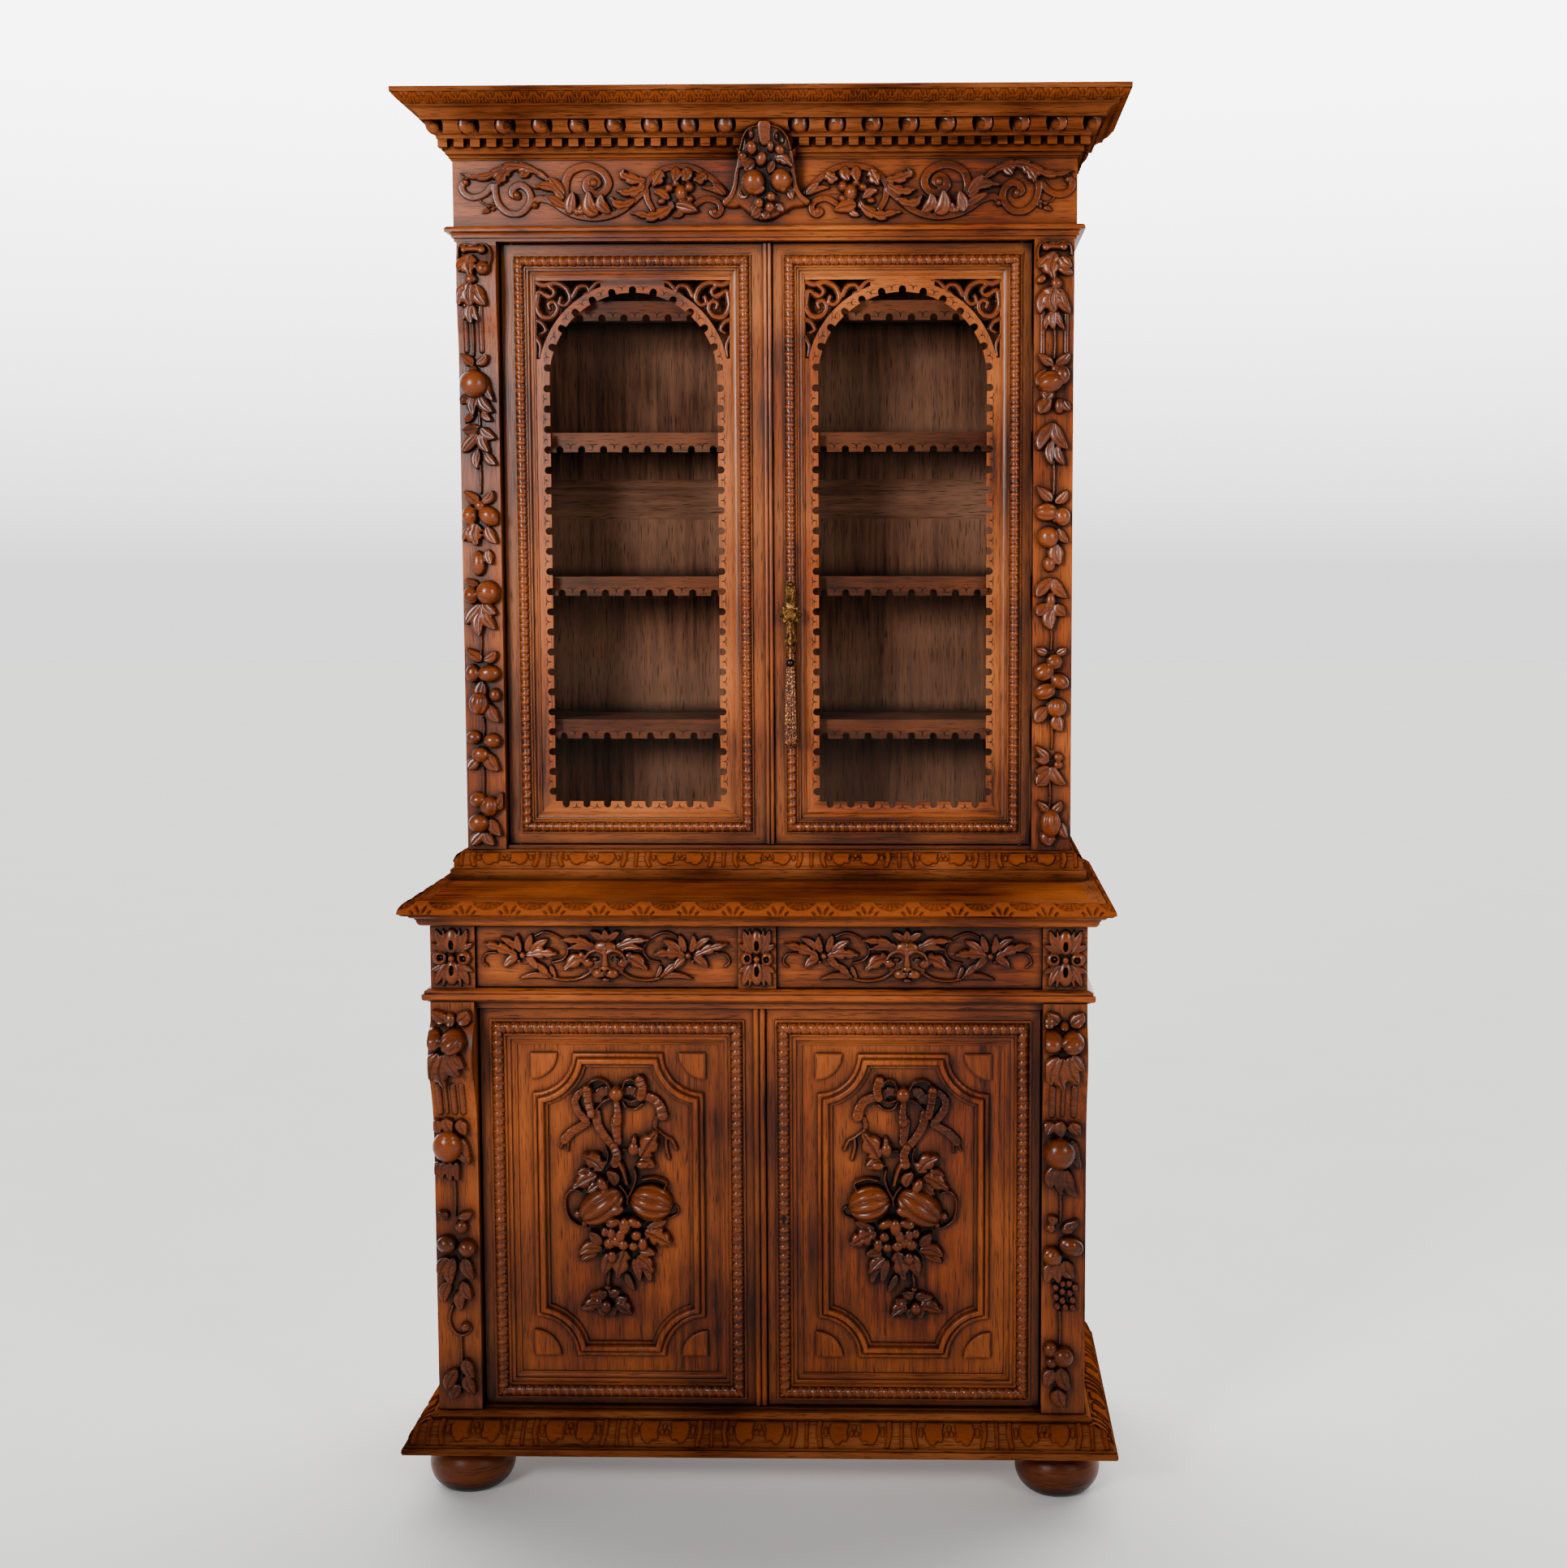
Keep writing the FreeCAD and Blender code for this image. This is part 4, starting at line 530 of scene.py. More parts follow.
def door_mitre(middle, half, low, high):
    """Where the grain of a door's frame turns upright: past the mitres that start in its corners."""
    return "Z", middle, (low + high) / 2, half - (high - low) / 2


LOW_DOOR_HALF, LOW_DOOR_LOW, LOW_DOOR_HIGH, LOW_DOOR_FACE, LOW_MOULDING = 220.5, 171.8, 845.8, -203, 45
low_strip = gadroon_band(26, 1.2, 2.2)
low_bead = arc((0.08 * LOW_MOULDING, 1.5), (0.31 * LOW_MOULDING, 10.8), (0.55 * LOW_MOULDING, 2.5),
               low_strip.z.size)
PANEL_FACE, FIELD_HALF, FIELD_LOW, FIELD_HIGH, FIELD_HOLLOW = -195, 148.3, 246.4, 786, 70


def field_moulding(name, middle, body):
    """The panel's eight-sided moulding, rounded: a section swept round the field. At a distance d in
    from the field's edge the course is straight sides joined by hollow quarter rounds about the
    field's corners, of the hollow's radius plus d. The section is a bead, a taller roll and a fillet."""
    d = np.concatenate(([-1.2], np.linspace(-0.8, 9.2, 14), np.linspace(9.6, 19.8, 16),
                        [20.2, 22.8, 25, 25.5, 26]))
    bead = 8 * np.clip(1 - np.abs((d - 4.2) / 5) ** 2.5, 0, None) ** 0.4
    roll = 13.2 * np.clip(1 - np.abs((d - 14.1) / 6) ** 3, 0, None) ** (1 / 3)
    ledge = np.interp(d, (-0.8, -0.4, 8.4, 8.8, 19.6, 20, 25, 25.6, 26),
                      (-0.8, 5.3, 5.3, 9.3, 9.3, 4.4, 4.4, 3, -0.8))
    rise = np.maximum(np.maximum(bead, roll), ledge)
    rise[[0, -1]] = Carving.sunk
    radius = FIELD_HOLLOW + d
    lean = np.arcsin(np.clip(d, 0, None) / radius)
    swing = np.pi + lean + np.linspace(0, 1, 22)[:, None] * (np.pi / 2 - 2 * lean)
    tall = (FIELD_HIGH - FIELD_LOW) / 2
    x = np.vstack((np.zeros_like(d), FIELD_HALF + radius * np.cos(swing), FIELD_HALF - d))
    z = np.vstack((tall - d, tall + radius * np.sin(swing), np.zeros_like(d)))
    x = np.vstack((x, x[-2::-1], -x[1:], -x[-2:0:-1]))
    z = np.vstack((z, -z[-2::-1], -z[1:], z[-2:0:-1]))
    y = np.broadcast_to(PANEL_FACE - rise, x.shape)
    points = np.stack((middle + x, y, (FIELD_LOW + FIELD_HIGH) / 2 + z), -1)
    surface(name, points, body, upright_oak, loop=True, crease=0.6)


TABLET_OUT, TABLET_RADIUS, TABLET_RISE = 151.8, 46, 6.2
tablet = Carving((0, TABLET_RADIUS), (0, TABLET_RADIUS), 1.0)
swing = np.linspace(0, np.pi / 2, 20)
quarter = TABLET_RADIUS * np.stack((np.cos(swing), np.sin(swing)), -1)
tablet.plate(np.vstack(((0, 0), quarter)), TABLET_RISE, 3)
bouquet = Carving((-352, -138), (305, 748), 1.1)
# The tied ribbon's loops, tails and crossing bands, as (line, widths at its ends, rise).
for points, wide, rise in (
        ([(-299, 723), (-297, 704), (-292, 681)], (15, 13), 20),
        ([(-207, 740), (-203, 726), (-206, 711)], (15, 14), 18),
        ([(-284, 707), (-272, 718), (-258, 717)], (19, 16), 7),
        ([(-213, 714), (-224, 720), (-238, 717)], (17, 14), 7),
        ([(-305, 721), (-316, 712), (-321, 700), (-316, 684), (-303, 669)], (12, 14), 10),
        ([(-301, 663), (-314, 655), (-327, 647), (-340, 633)], (13, 15), 9),
        ([(-196, 710), (-182, 704), (-173, 692), (-169, 676)], (14, 17), 11),
        ([(-179, 672), (-183, 661), (-182, 652)], (8, 7), 5),
        ([(-249, 703), (-247, 684), (-248, 666)], (9, 15), 13),
        ([(-250, 667), (-250, 649), (-247, 629)], (18, 12), 9),
        ([(-285, 680), (-282, 661), (-273, 644), (-258, 624)], (15, 13), 10),
        ([(-254, 622), (-249, 608), (-252, 593)], (14, 16), 15)):
    bouquet.ribbon(points, np.multiply(1.15, wide), rise, folds=4)
# The rolled edges of its loops, its split ends, the stalks and the tendrils.
for points, wide, rise in (
        ([(-300, 726), (-292, 737), (-280, 741), (-267, 737), (-258, 724)], (4, 4), 17),
        ([(-290, 681), (-278, 695), (-269, 703), (-256, 709)], (5, 5), 14),
        ([(-238, 724), (-233, 737), (-224, 741), (-216, 738), (-213, 729)], (4, 4), 16),
        ([(-238, 707), (-225, 702), (-213, 705), (-204, 710)], (5, 5), 13),
        ([(-239, 703), (-232, 690), (-216, 688), (-204, 697)], (6, 6), 8),
        ([(-340, 633), (-348, 617)], (7, 5), 8),
        ([(-334, 635), (-335, 612)], (7, 4), 7),
        ([(-182, 653), (-164, 639), (-153, 632), (-146, 617)], (6, 8), 8),
        ([(-164, 638), (-164, 621), (-159, 600)], (8, 8), 7),
        ([(-244, 591), (-238, 578), (-232, 556)], (13, 11), 14),
        ([(-275, 579), (-267, 593), (-264, 608), (-268, 621)], (4, 4), 13),
        ([(-238, 616), (-227, 616)], (4, 4), 12),
        ([(-314, 542), (-327, 545), (-338, 534), (-340, 516), (-334, 494), (-318, 482), (-303, 479)],
         (6, 5), 11),
        ([(-204, 564), (-185, 567), (-164, 559), (-167, 547)], (6, 5), 14),
        ([(-164, 494), (-147, 500), (-143, 510), (-150, 517)], (5, 3), 6),
        ([(-218, 582), (-216, 567), (-221, 550), (-229, 534), (-232, 522)], (6, 6), 17),
        ([(-244, 553), (-234, 540), (-229, 522)], (6, 5), 15),
        ([(-262, 417), (-265, 395), (-267, 377), (-266, 364)], (9, 8), 11)):
    bouquet.stem(points, wide, rise)
LEAF_SWELL, BUNCH_LIFT = 1.25, 3
# Leaves, as (line from foot to tip, width, rise, lobes).
for points, wide, rise, lobes in (
        ([(-273, 580), (-287, 596), (-309, 608)], 27, 17, 2),
        ([(-206, 604), (-195, 624), (-178, 650)], 32, 17, 2),
        ([(-212, 596), (-198, 593), (-182, 588)], 22, 12, 0),
        ([(-283, 573), (-304, 563), (-327, 549)], 26, 14, 2),
        ([(-290, 576), (-305, 577), (-320, 573)], 15, 10, 0),
        ([(-275, 559), (-288, 551), (-303, 540)], 16, 12, 0),
        ([(-252, 553), (-256, 568), (-265, 580)], 20, 16, 0),
        ([(-164, 490), (-182, 483), (-200, 479)], 14, 10, 0),
        ([(-202, 473), (-179, 463), (-155, 450)], 30, 16, 3),
        ([(-275, 440), (-298, 442), (-318, 431)], 20, 14, 0),
        ([(-284, 432), (-301, 428), (-317, 418)], 15, 10, 0),
        ([(-275, 449), (-287, 460), (-297, 473)], 18, 18, 0),
        ([(-212, 435), (-198, 436), (-182, 432)], 17, 13, 0),
        ([(-216, 428), (-202, 417), (-187, 399)], 22, 13, 2),
        ([(-222, 423), (-216, 405), (-210, 381)], 15, 12, 0),
        ([(-207, 411), (-198, 398), (-192, 378)], 13, 10, 0),
        ([(-258, 435), (-267, 417), (-274, 395)], 22, 17, 0),
        ([(-236, 440), (-244, 414), (-250, 388)], 27, 17, 2),
        ([(-238, 397), (-230, 380), (-220, 364)], 12, 9, 0),
        ([(-276, 341), (-295, 340), (-316, 332)], 23, 14, 2),
        ([(-273, 352), (-286, 354), (-300, 358)], 17, 11, 0),
        ([(-270, 352), (-276, 358), (-284, 365)], 14, 10, 0),
        ([(-272, 338), (-276, 329), (-279, 319)], 18, 13, 0),
        ([(-265, 354), (-256, 360), (-246, 365)], 17, 12, 0),
        ([(-256, 345), (-244, 348), (-233, 352)], 14, 10, 0),
        ([(-255, 341), (-241, 335), (-225, 322)], 23, 13, 2),
        ([(-263, 337), (-260, 327), (-258, 317)], 15, 11, 0)):
    bouquet.leaf(points, LEAF_SWELL * wide, rise, lobes, lift=BUNCH_LIFT)
MELON_SWELL = 1.15
# The knot, two ribbed melons, plums and berries, as (x, z, half sizes, rise, turn, ribs).
for x, z, wide, tall, rise, turn, ribs in (
        (-248, 716, 11.5, 11.5, 21, 0, 0), (-219, 619, 9, 12, 18, 0, 0), (-218, 633, 5, 8, 14, 0, 0),
        (-204, 591, 11, 7, 16, 0, 0), (-273, 557, 8, 13, 23, 30, 0), (-276, 517, 38, 28, 31, 35, 8),
        (-190, 523, 33, 29, 31, -15, 10), (-249, 512, 13, 8.5, 25, 20, 0), (-255, 490, 13, 8, 24, 15, 0),
        (-235, 485, 9.5, 14, 28, 0, 0), (-218, 490, 13, 8, 24, -20, 0), (-242, 469, 8, 11, 26, 0, 0),
        (-258, 471, 8, 10, 23, 0, 0), (-270, 473, 7, 9, 20, 0, 0), (-262, 453, 10, 10, 22, 0, 0),
        (-238, 451, 9, 9, 24, 0, 0), (-250, 457, 8, 9, 23, 0, 0), (-216, 467, 9, 9, 22, 0, 0),
        (-221, 448, 8, 8, 21, 0, 0), (-205, 451, 8, 11, 19, 0, 0), (-258, 428, 8, 11, 20, 0, 0),
        (-270, 337, 9, 11, 18, 0, 0), (-318, 501, 7, 7, 11, 0, 0), (-306, 486, 6, 6, 11, 0, 0),
        (-267, 372, 6, 4, 14, 0, 0)):
    dome = min(rise, 0.95 * min(wide, tall))
    bouquet.fruit(x, z, MELON_SWELL * wide, MELON_SWELL * tall, dome, turn, ribs,
                  lift=BUNCH_LIFT + rise - dome)
for side, middle, way in (("left", -246, 1), ("right", 248, -1)):
    label = f"lower_{side}_door"
    mitre = door_mitre(middle, LOW_DOOR_HALF, LOW_DOOR_LOW, LOW_DOOR_HIGH)
    dress(oak(f"oak_{label}_waxed", LENGTHWISE, *OAK_TONES, mitre=mitre),
          f"{label}_frame", f"{label}_moulding")
    dress(upright_oak, f"{label}_panel")
    band(f"{label}_moulding_carving", low_strip, low_bead,
         round_door(middle, LOW_DOOR_HALF, LOW_DOOR_LOW, LOW_DOOR_HIGH, LOW_DOOR_FACE), label, carved_oak)
    field_moulding(f"{label}_field_moulding", middle, label)
    for corner, across, up, level in (("low_left", -1, -1, FIELD_LOW), ("low_right", 1, -1, FIELD_LOW),
                                      ("top_left", -1, 1, FIELD_HIGH), ("top_right", 1, 1, FIELD_HIGH)):
        relief(f"{label}_tablet_{corner}", tablet.copied(middle + across * TABLET_OUT, level, -across, -up),
               PANEL_FACE, label, upright_oak)
    relief(f"{label}_bouquet", bouquet.copied(across=way), PANEL_FACE, label, carved_oak)
dress(upright_oak, "lower_astragal")
KEYHOLE_X, KEYHOLE_PROUD, KEYHOLE_Z, KEYHOLE_DEEP = 41, 13.3, 499, 5
EYE_RADIUS, SLOT_HALF, SLOT_LONG = 4.2, 2.2, 9
# The keyhole: a round eye with a slot under it, as the reach from the eye's middle at each angle.
angle = np.linspace(0, 2 * np.pi, 33)
shank = np.clip(SLOT_HALF / np.maximum(np.abs(np.sin(angle)), 0.2), 0, SLOT_LONG) * (np.cos(angle) < 0)
reach = np.maximum(EYE_RADIUS, shank)
ring = np.stack((reach * np.sin(angle), 0 * angle, reach * np.cos(angle)), -1)
keyhole = np.stack((0 * ring, ring, ring + (0, KEYHOLE_DEEP, 0)))
keyhole += (KEYHOLE_X, LOW_DOOR_FACE - KEYHOLE_PROUD, KEYHOLE_Z)
# Nearly black oak. On the keyhole it is painted shade: a flat sheet on the face stands for the dark
# hole. The punched marks are flat strips painted nearly black.
near_black_oak = oak("oak_punched_dark", LEVEL, "#120703", "#1f0d05", "#2a1308", rough=0.5, shine=0.1)
# Painted shade: a near-black keyhole-shaped sheet with short walls going in, in place of the hole.
surface("lower_keyhole", keyhole, "lower_right_door", near_black_oak, crease=0.5)

# Drawers: oak fronts carved with a lion mask in a leaf mane between two sprays, plain boxes behind
# them, running between carved blocks of lily petals that end the rails.
dress(level_oak, "left_drawer_front", "right_drawer_front", "drawer_blocks")
dress(inside_level, "left_drawer_box", "right_drawer_box")
# One half of a front is carved and mirrored: the spray's leaves, then the mane's.
half_front = Carving((-222, 0), (908, 1010), 1.0)
for points, wide, rise, lobes in (
        ([(-151, 961), (-180, 974), (-211, 982)], 20, 13, 3),
        ([(-153, 972), (-166, 985), (-181, 993)], 14, 11, 0),
        ([(-146, 966), (-151, 981), (-151, 998)], 15, 12, 0),
        ([(-137, 967), (-131, 985), (-127, 998)], 15, 11, 0),
        ([(-129, 967), (-114, 980), (-98, 989)], 17, 12, 0),
        ([(-137, 962), (-110, 966), (-81, 964)], 22, 15, 3),
        ([(-150, 959), (-164, 953), (-176, 940)], 17, 12, 0),
        ([(-137, 959), (-126, 950), (-116, 938)], 16, 12, 0),
        ([(-134, 956), (-112, 941), (-92, 922)], 15, 11, 2),
        ([(-92, 923), (-121, 927), (-150, 921)], 13, 8, 0),
        ([(-95, 944), (-92, 933), (-85, 922)], 11, 8, 0), ([(-31, 959), (-51, 954), (-73, 936)], 28, 14, 2),
        ([(-14, 974), (-44, 987), (-79, 989)], 17, 16, 3), ([(-15, 967), (-42, 977), (-68, 973)], 15, 14, 2),
        ([(-6, 987), (-14, 996), (-26, 1003)], 15, 15, 0), ([(0, 984), (0, 996), (0, 1008)], 16, 15, 0)):
    half_front.leaf(points, wide, rise, lobes, lift=1.5)
# The spray's stalk and tendrils.
for points, wide, rise in (
        ([(-117, 938), (-99, 925), (-74, 918), (-46, 921), (-27, 931)], (6, 8), 8),
        ([(-122, 994), (-106, 1001), (-89, 997), (-71, 985), (-65, 968), (-74, 954), (-92, 949)], (5, 5), 7),
        ([(-188, 966), (-206, 963), (-212, 950), (-204, 942)], (4, 5), 6)):
    half_front.stem(points, wide, rise)
# Face, forehead, cheeks, muzzle, chin and the spray's berries.
for x, z, wide, tall, rise, lift in (
        (0, 951, 35, 35, 7, 4), (0, 976, 21, 12, 7, 11), (-29, 950, 11, 10, 8, 8), (-11, 931, 13, 10, 9, 11),
        (0, 920, 9, 5, 5, 8), (-142, 962, 6, 6, 6, 10), (-149, 951, 4, 4, 4, 6)):
    half_front.fruit(x, z, wide, tall, rise, lift=lift)
# Eye, brow, nose with its nostrils, and mouth.
half_front.dig(-18, 956, 9, 5, 5)
half_front.fruit(-18, 955.5, 6, 4.4, 4, lift=8)
half_front.stem([(-3, 967), (-14, 972), (-27, 967), (-35, 957)], (10, 6), 8, lift=11)
half_front.stem([(0, 974), (0, 957), (0, 943)], (8, 15), 7, lift=13)
half_front.fruit(0, 941, 9, 6, 6, lift=17)
half_front.fruit(-6, 940, 5, 4.5, 4, lift=16)
half_front.dig(-5, 937.5, 2.2, 1.8, 6)
half_front.dig(-9, 923, 9, 2, 6, 10)
half_front.x = np.concatenate((half_front.x, -half_front.x[-2::-1]))
half_front.height = np.concatenate((half_front.height, half_front.height[:, -2::-1]), 1)
DRAWER_FACE, BLOCK_MIDDLE = -215, 957
for side, middle in (("left", -261), ("right", 255)):
    relief(f"{side}_drawer_mask_and_sprays", half_front.copied(middle), DRAWER_FACE,
           f"{side}_drawer", carved_oak)
for label, middle, half in (("left", -524.5, 37.5), ("middle", -1.5, 31.2), ("right", 524.5, 37.5)):
    lily = Carving((-half, half), (-51, 54), 1.0)
    for way in (-1, 1):
        for foot, tip, wide in (
                ((8, 9), (0.72, 50), 17), ((8, -9), (0.76, -47), 17), ((13, 13), (0.97, 26), 12),
                ((13, -13), (0.97, -24), 12), ((6, 14), (0.40, 52), 9), ((6, -14), (0.42, -50), 9)):
            tip_x = tip[0] * half
            bow = (0.42 * foot[0] + 0.58 * tip_x, 0.5 * (foot[1] + tip[1]))
            lily.leaf([(way * foot[0], foot[1]), (way * bow[0], bow[1]), (way * tip_x, tip[1])], wide, 8)
        lily.fruit(way * 0.55 * half, 0, 0.36 * half, 13, 8, lift=3)
        lily.dig(way * 0.52 * half, -way, 0.16 * half, 6, 10)
        lily.fruit(0, way * 27 + 2, 0.37 * half, 23, 9, lift=3)
        lily.dig(0, way * 22 + 1, 4.2, 9, 11)
    lily.fruit(0, 0, 6.5, 6.5, 6, lift=7)
    relief(f"block_lily_{label}", lily.copied(middle, BLOCK_MIDDLE), POST_FRONT, "carcass", carved_oak)

# Top of the lower case: a thick board with a thumb-moulded edge carved in lunettes, lying on a bed
# moulding; the board's own face was scraped flat and waxed.
dress(low_mitred_oak, "counter_edging")
dress(level_oak, "counter_bed_moulding")
# Scraped oak with its wax worn thin: long bands along the board and an even, dull face.
top_oak = oak("oak_lengthwise_stained_waxed", LENGTHWISE, *OAK_TONES, rough=0.4, shine=0.0)
dress(top_oak, "counter_top")
EDGE_PERIOD, EDGE_REACH, EDGE_LOW, EDGE_TALL, EDGE_STEP, EDGE_RISE = 76, 43, 1034, 25, 1.3, 2.6
lunettes = Carving((0, EDGE_PERIOD - EDGE_STEP), (0, 26), EDGE_STEP)
lunettes.height[:] = EDGE_RISE
for middle in (0, EDGE_PERIOD):
    lunettes.dig(middle, 27, 27, 19, 5)
    for ray in (-20, -10, 0, 10, 20):
        lunettes.stem([(middle + 0.4 * ray, 25), (middle + ray, 11 + 0.012 * ray ** 2)], (3, 6), 1.7)
for lean in (-1, 1):
    lunettes.dig(EDGE_PERIOD / 2 + lean * 6, 9, 2.6, 9, 3, -lean * 28)
    lunettes.dig(EDGE_PERIOD / 2 + lean * 15, 4, 2.2, 5, 3, -lean * 48)
edge_curve = arc(*np.multiply(((1, 0.18), (0.92, 0.62), (0.68, 0.94)), (EDGE_REACH, EDGE_TALL)),
                 lunettes.z.size)
edge_curve[:, 1] += EDGE_LOW
band("counter_edge_lunettes", lunettes, edge_curve, low_runs, "carcass", moulding_oak)

# Base moulding of the upper case: like the lower one but smaller, pegged to the top board with
# hidden dowels.
UP_HALF, UP_FRONT, PLINTH_REACH, PLINTH_LOW, PLINTH_TALL = 548.5, 11, 27, 1059, 52
dress(mitred_oak("oak_upper_plinth_dry", UP_HALF, UP_FRONT), "upper_plinth")
plinth_strip = leaf_band(159, 30, 1.25)
plinth_curve = arc(*np.multiply(((0.80, 0.46), (0.62, 0.78), (0.36, 0.90)), (PLINTH_REACH, PLINTH_TALL)),
                   plinth_strip.z.size)
plinth_curve[:, 1] += PLINTH_LOW
band("upper_base_carving", plinth_strip, plinth_curve, round_case(UP_HALF, UP_FRONT, CASE_BACK),
     "carcass", moulding_oak)

# Upper case: side boards, back of upright panels and a cross rail, top boards, and four shelves
# whose front lips are sawn in scallops and punched between them with small forked marks.
dress(upright_oak, "upper_sides")
dress(level_oak, "upper_rails", "architrave_moulding", "frieze")
# The lips are a darker, redder brown than the show wood: painted shade, for the shade they sit in.
dress(oak("oak_lip_shade_painted_waxed", LEVEL, "#240c06", "#552414", "#7a4128", alone=True), "shelf_lips")
dress(top_oak, "upper_top_boards")
dress(inside_upright, "upper_back")
dress(inside_level, "upper_floor_board", "upper_shelves")
BACK_FACE, BACK_HALF, CROSS_LOW, CROSS_HIGH, CROSS_RISE = 266, 524, 1715, 1790, 1.5
cross_rail = Carving((-BACK_HALF, BACK_HALF), (CROSS_LOW, CROSS_HIGH), 5)
cross_rail.plate(np.array([(-BACK_HALF, CROSS_LOW), (BACK_HALF, CROSS_LOW), (BACK_HALF, CROSS_HIGH),
                           (-BACK_HALF, CROSS_HIGH)]), CROSS_RISE, 6)
relief("back_cross_rail", cross_rail, BACK_FACE, "carcass", inside_level)


def forked_marks(name, spots, face, body, size):
    """Gull-shaped marks at spots (x, z, degrees), lying 0.15 mm proud of a face: two wings that rise
    from a point and level out, and a short stem under it, each a strip that tapers along its line."""
    t = np.linspace(0, 1, 6)
    arm = size * np.stack((5.2 * t, 5 * np.sqrt(t) - 2.6 * t ** 2 - 1.5), -1)
    lines = np.stack((arm, arm * (-1, 1), size * np.stack((0 * t, -1.5 - 2.5 * t), -1)))
    slope = np.gradient(lines, axis=1)
    across = np.stack((-slope[..., 1], slope[..., 0]), -1)
    across = across / np.hypot(*np.moveaxis(slope, -1, 0))[..., None] * (0.9 - 0.4 * t)[:, None]
    strips = np.stack((lines - across, lines + across), 1).reshape(-1, 2)
    x, z, turn = np.array(spots, float).T[..., None]
    c, s = np.cos(np.radians(turn)), np.sin(np.radians(turn))
    place = np.stack((x + c * strips[:, 0] - s * strips[:, 1],
                      np.full((len(spots), len(strips)), face - 0.15),
                      z + s * strips[:, 0] + c * strips[:, 1]), -1)
    grid = place.reshape(-1, t.size, 3)
    keep = np.broadcast_to(np.arange(len(grid) - 1)[:, None] % 2 == 0, (len(grid) - 1, t.size - 1))
    surface(name, grid, body, near_black_oak, keep)


SHELF_TOPS, LIP_TALL, LIP_FACE, NOTCH_PITCH, MARK_UP = (1344, 1606, 1866.5, 2102), 35, 66, 40, 12
forked_marks("shelf_lip_marks", [(count * NOTCH_PITCH, top - LIP_TALL + MARK_UP, 0)
                                 for top in SHELF_TOPS for count in range(-12, 13)], LIP_FACE, "carcass", 1.9)

# Corner posts of the upper case: slimmer oak uprights, each with a scrolled console head and a long
# drop of fruit, pods and leaves on a cord.
dress(upright_oak, "upper_pilasters")
up_left = Carving((-546.5, -480), (1113, 2197), 1.1)
carve_drop(
    up_left,
    [(-533, 2186, 7, 8), (-502, 2185, 8, 8), (-500, 2152, 12, 12), (-521, 2133, 11, 9), (-521, 1973, 9, 10),
     (-520, 1949, 24, 25, 2, 60), (-532, 1716, 14, 17, 4, 0), (-498, 1715, 16, 20, 3, 50),
     (-514, 1733, 10, 10), (-518, 1630, 12, 22), (-532, 1573, 14, 15, 4, 20), (-502, 1578, 20, 21),
     (-520, 1575, 10, 10), (-532, 1432, 13, 16), (-503, 1432, 20, 15), (-493, 1393, 11, 12),
     (-521, 1378, 20, 18, 6, 80), (-532, 1316, 14, 12, 2, 0), (-499, 1310, 16, 13, 2, 0),
     (-520, 1285, 16, 14), (-526, 1202, 15, 14, 4, 0), (-506, 1190, 18, 16, 5, 80), (-525, 1160, 19, 17)],
    [(-520, 2176, -520, 2138, 28), (-526, 2172, -543, 2146, 17), (-521, 2125, -521, 2085, 32),
     (-528, 2123, -543, 2086, 20), (-513, 2123, -495, 2086, 22), (-521, 2090, -521, 2054, 15),
     (-525, 2087, -535, 2060, 11), (-517, 2087, -508, 2058, 11), (-520, 1984, -544, 2003, 15),
     (-516, 1984, -496, 2001, 14), (-502, 1966, -486, 1918, 15), (-520, 1932, -522, 1893, 16),
     (-512, 1930, -487, 1899, 18), (-530, 1932, -544, 1914, 14), (-506, 1902, -490, 1884, 13),
     (-520, 1900, -538, 1880, 11), (-513, 1874, -543, 1868, 16), (-510, 1872, -483, 1853, 17),
     (-515, 1862, -543, 1828, 18), (-510, 1862, -496, 1828, 17), (-515, 1834, -517, 1798, 15),
     (-502, 1828, -483, 1806, 15), (-515, 1738, -543, 1760, 17), (-510, 1738, -490, 1760, 15),
     (-520, 1702, -520, 1662, 28), (-502, 1697, -484, 1666, 17), (-534, 1697, -544, 1670, 14),
     (-500, 1655, -494, 1628, 15), (-518, 1592, -543, 1602, 12), (-512, 1560, -487, 1540, 19),
     (-515, 1558, -543, 1521, 18), (-512, 1554, -489, 1511, 19), (-517, 1542, -518, 1500, 19),
     (-515, 1455, -543, 1477, 16), (-512, 1455, -489, 1472, 16), (-515, 1418, -517, 1376, 22),
     (-505, 1377, -485, 1344, 19), (-510, 1288, -487, 1256, 21), (-525, 1278, -543, 1258, 18),
     (-495, 1184, -483, 1216, 16), (-505, 1168, -485, 1137, 18), (-518, 1143, -540, 1120, 18),
     (-515, 1143, -498, 1120, 18)],
    [(-521, 2058, 2000, 6), (-513, 1900, 1860, 6), (-513, 1806, 1756, 7), (-517, 1506, 1470, 6),
     (-515, 1350, 1318, 6), (-517, 1262, 1212, 6)],
    [(-533, 2092, 2008, 10), (-506, 2092, 2008, 10)])
up_left.stem([(-533, 2186), (-519, 2186), (-504, 2186)], (13, 13), 11)
up_left.stem([(-543, 2172), (-543, 2187), (-535, 2195), (-519, 2192), (-502, 2195.5), (-489, 2188),
              (-485.5, 2173), (-489, 2158)], (5, 5), 10)
up_right = Carving((480, 546.5), (1113, 2197), 1.1)
